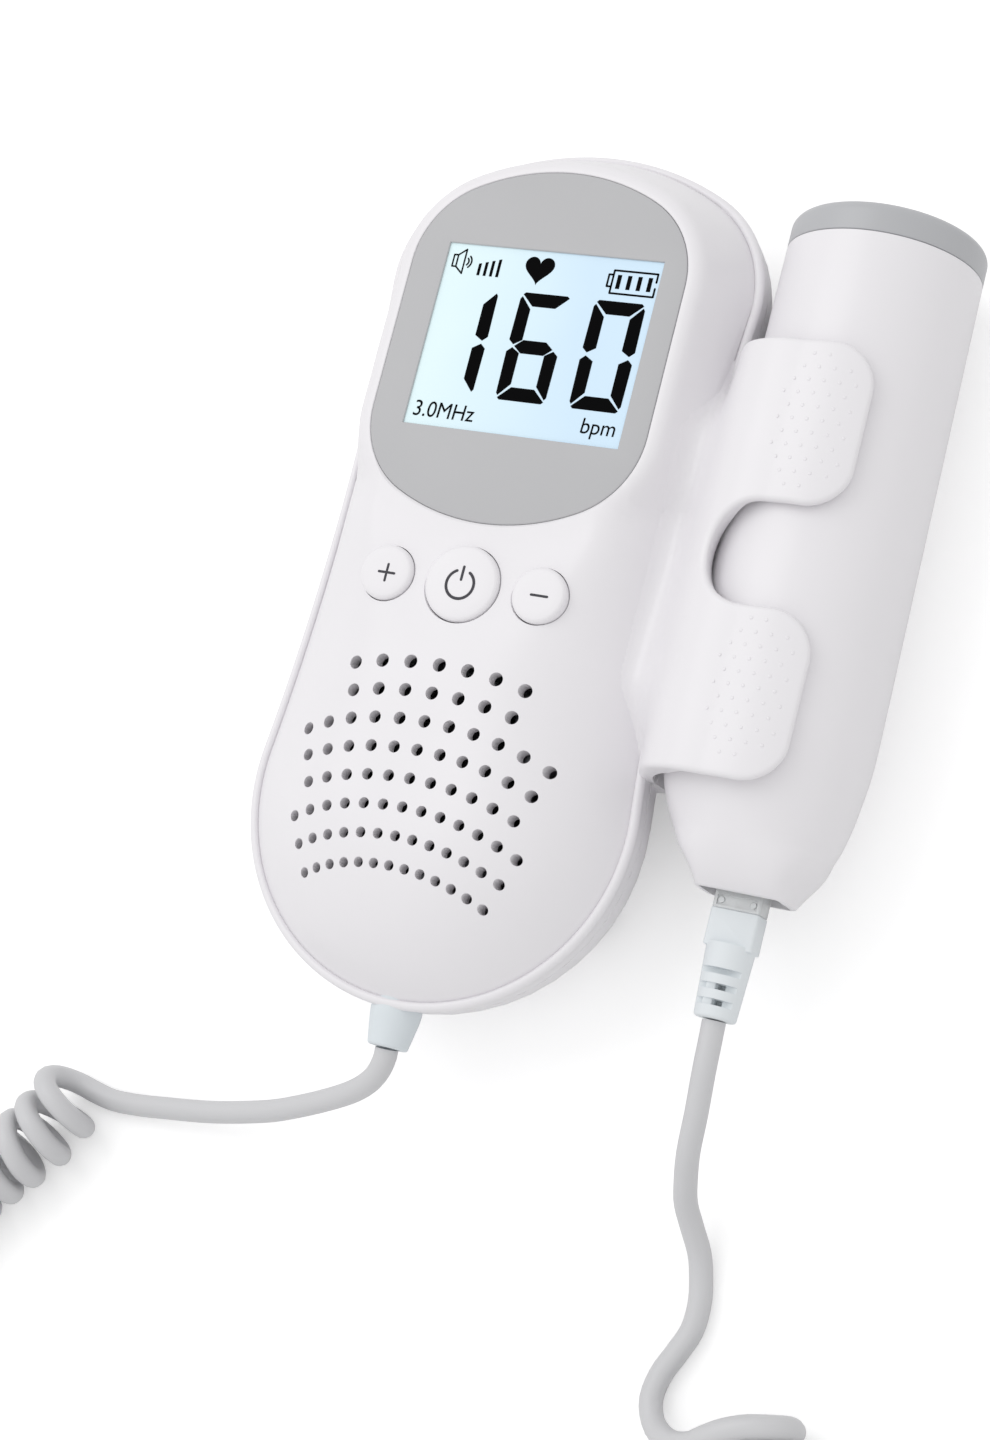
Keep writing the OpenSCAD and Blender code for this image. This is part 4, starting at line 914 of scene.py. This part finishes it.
# Probe
# A white moulded tube, a little wider at its rounded nose than at the grey cap, which is pressed
# on over the transducer. The nose flattens toward the mouth of the plug's socket.
nose_y, tail_y, tube_r, around = 22, 96.8, 16, 160
nose = through([(nose_y, tube_r), (17.5, 15.9), (13, 15.45), (9, 14.7), (5, 13.4), (2.5, 12.1),
                (1, 11.1), (0, 10.3), (-1, 9.45), (-2, 8.65), (-3, 8.0), (-3.8, 7.65), (-4.5, 7.4),
                (-4.9, 7.3)], 3)
rows = []
angle = 2 * np.pi * np.arange(around) / around
for y, wide in np.vstack([[(-5, 7.1)], nose[::-1]]):
    share = (nose_y - y) / 27
    thick = tube_r * math.sqrt(1 - (0.945 * share) ** 2) - (0.2 if y == -5 else 0)
    square = 2 + 3 * float(smooth((4 - y) / 9))
    r = (np.abs(np.cos(angle) / wide) ** square
         + np.abs(np.sin(angle) / thick) ** square) ** (-1 / square)
    x = probe_x + 1.5 * float(smooth((14 - y) / 19))
    rows.append(np.stack([x + r * np.cos(angle), np.full(around, y), probe_z + r * np.sin(angle)], 1))
tube = [(nose_y + (96.4 - nose_y) * s, tube_r - 0.4 * s) for s in np.linspace(0.1, 1, 10)]
tube += [(96.72, 15.57), (tail_y, 15.35), (tail_y, 13.8)]
bore = [(60, 14.0), (22, 14.2), (12, 13.4), (5.5, 10.6)]
probe_shape = bmesh.new()
prism(probe_shape, rows + rings_along_y(probe_x, probe_z, tube + bore, around))
probe = shaped("probe_skin", probe_shape, shell_finish)


def rounded_box(name, x, z, w, t, r, y0, y1, edge, finish):
    """A block along Y with rounded long edges and rounded ends."""
    shape, rows, steps = bmesh.new(), [], 6
    bends = np.radians(np.linspace(0, 90, steps))
    stack = [(y0 + edge * (1 - math.cos(a)), edge * (1 - math.sin(a))) for a in bends]
    stack += [(y1 - edge * (1 - math.sin(a)), edge * (1 - math.cos(a))) for a in bends]
    for y, inset in stack:
        p = np.vstack([arc(sx * (w / 2 - r), sz * (t / 2 - r), max(r - inset, 0.02), a0, a0 + 90, steps)
                       if r > inset else [(sx * (w / 2 - inset), sz * (t / 2 - inset))] * steps
                       for sx, sz, a0 in ((1, 1, 0), (-1, 1, 90), (-1, -1, 180), (1, -1, 270))])
        rows.append(np.stack([x + p[:, 0], np.full(len(p), y), z + p[:, 1]], 1))
    prism(shape, rows)
    bmesh.ops.remove_doubles(shape, verts=shape.verts, dist=1e-7)
    return shaped(name, shape, finish)


carve(probe, rounded_box("socket mouth", 51.05, probe_z, 12.7, 8.4, 0.7, -8, 9.5, 0.05,
                         shell_finish))
soften(probe, 32)
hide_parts("probe_shell")
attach(probe, "probe")
cap_finish = moulded("cap grey", linear(182, 183, 186), 0.38, grain=5000, depth=0.008,
                     Coat_Weight=0.2, Coat_Roughness=0.3)
profile = [(96.85, 14.0), (96.85, 15.4), (96.95, 15.56), (97.2, 15.6),
           *bend(100.1, 13.8, 1.8, 90, 0, 12), (101.9, 6), (101.9, 0.5)]
cap = along_y("probe_cap_skin", probe_x, probe_z, profile, around, cap_finish)
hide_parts("probe_cap")
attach(cap, "probe")

# Plug
# A clear moulded handset plug is crimped on the cord. Its pale rubber boot ends in a round strain
# relief, slotted on both sides so that the cord can bend.
plug_x = 50.8
boot_finish = moulded("boot rubber", linear(228, 233, 236), 0.5, grain=3500, depth=0.012)
boot = rounded_box("plug_boot_skin", plug_x, probe_z, 7.8, 4.8, 0.55, -13.2, -7.4, 0.25, boot_finish)
profile = [(-23.9, 2.0), (-23.9, 2.6), *bend(-23.35, 2.75, 0.55, 165, 90, 6), (-18, 3.55),
           (-13.0, 3.8), (-12.6, 3.8)]
relief = along_y("relief", plug_x, probe_z, profile, 64, boot_finish)
for y in (-16.85, -19.2, -21.55):
    for up in (1, -1):
        carve(relief, rounded_box("slot", plug_x, probe_z + up * 3.5, 9, 3.3, 0.3,
                                  y - 0.48, y + 0.48, 0.12, boot_finish))
        if y < -17:
            carve(relief, rounded_box("web", plug_x - 0.9, probe_z + up * 1.6, 1.5, 2.6, 0.2,
                                      y - 0.55, y + 0.55, 0.02, boot_finish), "UNION")
            carve(relief, rounded_box("window", plug_x + 0.55, probe_z + up * 1.9, 1.3, 3.4, 0.1,
                                      y - 0.42, y + 0.42, 0.05, boot_finish))
carve(boot, relief, "UNION")
soften(boot, 35)
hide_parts("plug_boot")
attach(boot, "probe")

clear_finish, tree, glass = finish_of("plug clear", Transmission_Weight=0.35, IOR=1.49)
place = tree.nodes.new("ShaderNodeTexCoord").outputs["Object"]
haze = wire(tree, "ShaderNodeTexNoise", Vector=place, Scale=900.0, Detail=2.0)
hazy = wire(tree, "ShaderNodeMapRange", Value=haze.outputs["Fac"], To_Min=0.05, To_Max=0.2)
tree.links.new(hazy.outputs[0], glass.inputs["Roughness"])
tint = wire(tree, "ShaderNodeMix", {"data_type": "RGBA"}, Factor=haze.outputs["Fac"],
            A=(0.9, 0.93, 0.94, 1), B=(0.96, 0.97, 0.98, 1))
tree.links.new(tint.outputs[2], glass.inputs["Base Color"])
latch = from_node("plug_latch", "plug_latch_skin", clear_finish, bevel=0.1)
shell = rounded_box("plug_body_skin", plug_x, probe_z, 7.6, 4.6, 0.35, -7.4, 4, 0.15, clear_finish)
carve(shell, rounded_box("recess", plug_x, 20.7, 6.4, 0.7, 0.25, -7.0, -5.35, 0.05, clear_finish))
for x in (-2.55, 2.55):
    boss = bmesh.new()
    turned(boss, plug_x + x, -6.18, [(20.2, 0.5), (20.6, 0.5), (20.66, 0.42)], 24)
    carve(shell, shaped("boss", boss, clear_finish), "UNION")
for k in (-1.5, -0.5, 0.5, 1.5):
    carve(shell, rounded_box("slot", plug_x + 1.267 * k, 20.3, 0.55, 1.3, 0.02, -0.6, 5, 0.01,
                             clear_finish))
soften(shell, 35)
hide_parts("plug_body")
for clear in (latch, shell):
    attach(clear, "probe")

# Inside
# The board, display parts, loudspeaker, cells and transducer are bought parts, screwed or clipped
# in the cases. They keep the solids' shapes, and each takes a finish of its own.
metal = dict(spread=0.08, grain=1500, cloud=200, depth=0.004, Metallic=1.0)
mask = dict(tint=-0.3, cloud=900, depth=0.03)
finishes = {
    "lcd_backlight": moulded("light plate", linear(236, 248, 252), 0.6),
    "lcd_frame": moulded("display frame", linear(52, 52, 54), 0.55),
    "key_mat": moulded("key rubber", linear(208, 208, 212), 0.75, grain=2500, depth=0.02),
    "main_board": moulded("solder mask", linear(30, 110, 66), 0.35, **mask),
    "board_chips": moulded("chip body", linear(38, 38, 40), 0.6, grain=3000, depth=0.02),
    "board_screws": moulded("screw steel", linear(196, 198, 200), 0.3, **metal),
    "speaker_basket": moulded("speaker steel", linear(120, 122, 126), 0.4, **metal),
    "speaker_cone": moulded("cone paper", linear(34, 34, 36), 0.85, grain=1800, depth=0.06),
    "speaker_magnet": moulded("magnet plating", linear(170, 172, 176), 0.35, **metal),
    "battery_cells": moulded("cell sleeve", linear(84, 140, 112), 0.35, tint=-0.2, cloud=120),
    "battery_springs": moulded("spring wire", linear(205, 206, 208), 0.25, **metal),
    "battery_plates": moulded("contact plate", linear(210, 211, 213), 0.28, **metal),
    "case_screws": moulded("case screw", linear(176, 178, 182), 0.32, **metal),
    "plug_contacts": moulded("contact gold", linear(222, 184, 96), 0.25, **metal),
    "transducer_discs": moulded("piezo silver", linear(200, 182, 132), 0.4, **metal),
    "acoustic_backing": moulded("backing resin", linear(96, 98, 102), 0.7, grain=900, depth=0.05),
    "probe_board": moulded("probe solder mask", linear(30, 110, 66), 0.35, **mask),
    "probe_socket": moulded("socket plastic", linear(120, 122, 124), 0.45),
    "socket_contacts": moulded("socket gold", linear(222, 184, 96), 0.25, **metal),
}
for node, finish in finishes.items():
    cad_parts[node].data.materials.clear()
    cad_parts[node].data.materials.append(finish)
